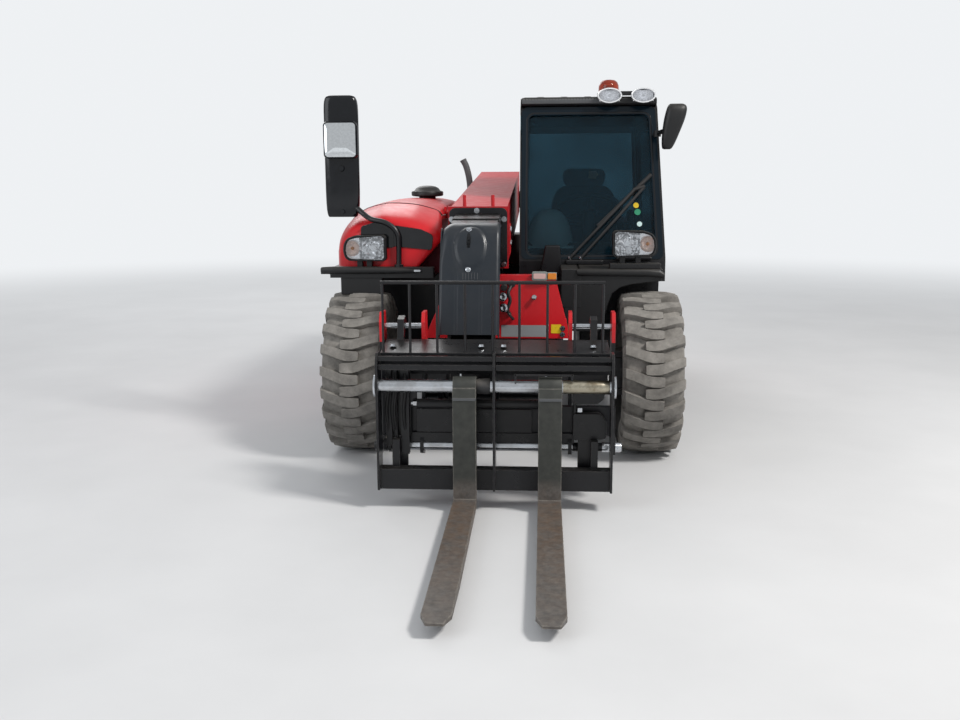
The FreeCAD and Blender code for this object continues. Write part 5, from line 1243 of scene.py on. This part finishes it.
def make_carriage_details():
    make_pins()
    make_lock()
    make_shaft_details()
    # behind the carriage: tilt cylinder's end, hydraulic tube and its fittings
    tubes = Form().tube([(-0.345, -0.925, 0.446), (-0.10, -0.925, 0.446), (0.19, -0.925, 0.446)], 0.0215, 24, 4)
    tubes.box((-0.350, -0.916, 0.315), (0.160, -0.897, 0.420))
    tubes.make("coupler_tubes", "black_paint", "coupler", smooth=35, bevel=0.002)
    fitting = Form().rod((-0.360, -0.930, 0.450), (-0.344, -0.930, 0.450), 0.017, 6)
    fitting.rod((-0.369, -0.930, 0.450), (-0.360, -0.930, 0.450), 0.010, 16).make("coupler_fitting", "bright_steel", "coupler", smooth=30)

    # load guard's upright rods and top bar
    low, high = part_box("backrest")
    y, top = (low.y + high.y) / 2, high.z - 0.008
    rack = Form().rod(Vector((GUARD_RODS_X[0] - 0.008, y, top)), Vector((GUARD_RODS_X[-1] + 0.008, y, top)), 0.0078, 16)
    for x in GUARD_RODS_X:
        rack.rod(Vector((x, y, low.z)), Vector((x, y, top)), 0.0056, 14)
    rack.make("load_guard", "black_paint", "coupler", smooth=40, replaced=("backrest",))


# Front guards

# Blades along the front edges: x, low z, high z, depth
LIP_RIGHT = ((-0.955, 0.945, 0.966, 0.004), (-0.948, 0.940, 0.972, 0.010), (-0.88, 0.936, 0.976, 0.016),
             (-0.62, 0.936, 0.974, 0.018), (-0.46, 0.940, 0.964, 0.014), (-0.425, 0.944, 0.954, 0.006))
LIP_LEFT = ((0.378, 0.934, 0.958, 0.012), (0.385, 0.926, 0.964, 0.012), (0.74, 0.924, 0.962, 0.012),
            (0.80, 0.918, 0.956, 0.012), (0.818, 0.914, 0.948, 0.012), (0.824, 0.920, 0.938, 0.012))
# arch of the left guard over its tyre: x, z
GUARD_ARCH = [(0.312, 0.935), (0.312, 0.640), (0.500, 0.640), (0.520, 0.700), (0.540, 0.780), (0.560, 0.835), (0.600, 0.866),
              (0.655, 0.882), (0.740, 0.893), (0.812, 0.900), (0.812, 0.935)]


def guard_lip(rows, y):
    """Tapered blade with a round front edge; y is where the rounding starts."""
    rings = []
    for x, low, high, deep in rows:
        front = [(x, y - deep * math.cos(a), (low + high) / 2 + (high - low) / 2 * math.sin(a))
                 for a in (math.radians(18 * i - 90) for i in range(11))]
        rings.append([*front, (x, y + 0.008, high), (x, y + 0.008, low)])
    return Form().skin(rings)


def make_guard_details():
    lip = guard_lip(LIP_RIGHT, -0.058).box((-0.850, -0.055, 0.828), (-0.633, -0.005, 0.917))
    lip.make("guard_lip", "dark_plastic", smooth=40, bevel=0.004)
    tablet("guard_mark", "bright_steel", (-0.462, 0.950), (-0.428, 0.960), 0.003, -0.079, -0.070, 3, smooth=30)
    # left guard with its arch over the tyre and the shelf that carries the lamp
    shelf = Form().plate(GUARD_ARCH, "y", -0.056, -0.045)
    shelf.boxes(((0.380, -0.058, 0.930), (0.816, 0.248, 0.962)), ((0.297, -0.058, 0.762), (0.400, 0.240, 0.962)),
                ((0.546, -0.042, 0.960), (0.806, 0.040, 0.990)))
    shelf.make("guard_shelf", "dark_plastic", smooth=30, bevel=0.005, replaced=("front_guard_left",))
    guard_lip(LIP_LEFT, -0.060).make("guard_lip_left", "dark_plastic", smooth=40)


# Rear and sides

TAIL_WIDTH = 0.160
# parts of a tail lamp: name, distances from its outer edge, lens
TAIL_PARTS = (("stop", 0.003, 0.075, "red_lens"), ("turn", 0.083, 0.118, "amber_lens"), ("back_up", 0.126, 0.155, "clear_lens"))


def make_rear_details():
    low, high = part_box("tail_lights")
    front_y, rear_y = low.y - AXLE_Y, high.y - AXLE_Y
    base, marks, trim = Form(), Form(), Form()
    for side, word in ((-1, "right"), (1, "left")):
        for name, start, end, slot in TAIL_PARTS:
            a, b = sorted((side * (high.x - start), side * (high.x - end)))
            tablet("tail_%s_%s" % (name, word), slot, (a, low.z + 0.006), (b, high.z - 0.006), 0.006,
                   rear_y - 0.004, rear_y + 0.008, smooth=30, bevel=0.003)
        a, b = sorted((side * high.x, side * (high.x - TAIL_WIDTH)))
        base.plate(rounded((a, low.z), (b, high.z), 0.008), "y", front_y, rear_y - 0.003)
        a, b = sorted((side * 0.560, side * 0.690))
        marks.plate(rounded((a, 0.955), (b, 1.010), 0.004), "y", rear_y - 0.020, rear_y - 0.012)
    base.make("tail_lamp_bases", "dark_plastic", smooth=30, bevel=0.002, replaced=("tail_lights",))
    marks.make("rear_reflectors", "glow_lens", smooth=30)
    weight_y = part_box("counterweight")[1].y - AXLE_Y
    tablet("blank_plate", "grey_trim", (-0.260, 0.820), (0.260, 0.930), 0.010, weight_y, weight_y + 0.003, smooth=30)
    # grab rail, steps' treads and filler cap on the tank below the door
    for z in (0.370, 0.475):
        for y in (0.915 + 0.038 * k for k in range(9)):
            trim.box((0.800, y, z), (0.878, y + 0.010, z + 0.006))
    trim.lathe((0.620, 0.700, 0.560), (0, 0, 1), [(0.0, 0.045), (0.020, 0.045), (0.024, 0.040), (0.030, 0.040), (0.032, 0.0)], 32)
    trim.tube([(0.868, 1.525, 1.00), (0.895, 1.530, 1.03), (0.880, 1.530, 1.35), (0.862, 1.530, 1.60), (0.835, 1.528, 1.63)], 0.010, 14, 6)
    trim.make("tank_trim", "dark_plastic", smooth=35)


def make_boom_details():
    pins = Form()
    for side in (-1, 1):
        base = at(BOOM_X + side * 0.190, *BOOM_PIVOT)
        pins.lathe(base, (side, 0, 0), [(0.0, 0.062), (0.008, 0.062), (0.010, 0.058), (0.010, 0.030), (0.016, 0.028), (0.016, 0.0)], 40)
        for a in around(4):
            foot = base + Vector((side * 0.010, 0.047 * math.cos(a + 0.6), 0.047 * math.sin(a + 0.6)))
            pins.bolt(foot, (side, 0, 0), 0.016, 0.008)
    pins.make("pivot_caps", "black_paint", smooth=35)


make_camera()
make_stage()
soften_edges()
make_tyres()
make_hood()
make_mouth()
make_cover()
make_head_lamps()
make_top_lamps()
make_mirrors()
make_front_panel()
make_cab()
make_carriage_details()
make_guard_details()
make_rear_details()
make_boom_details()
bpy.context.scene.view_settings.view_transform = "Standard"
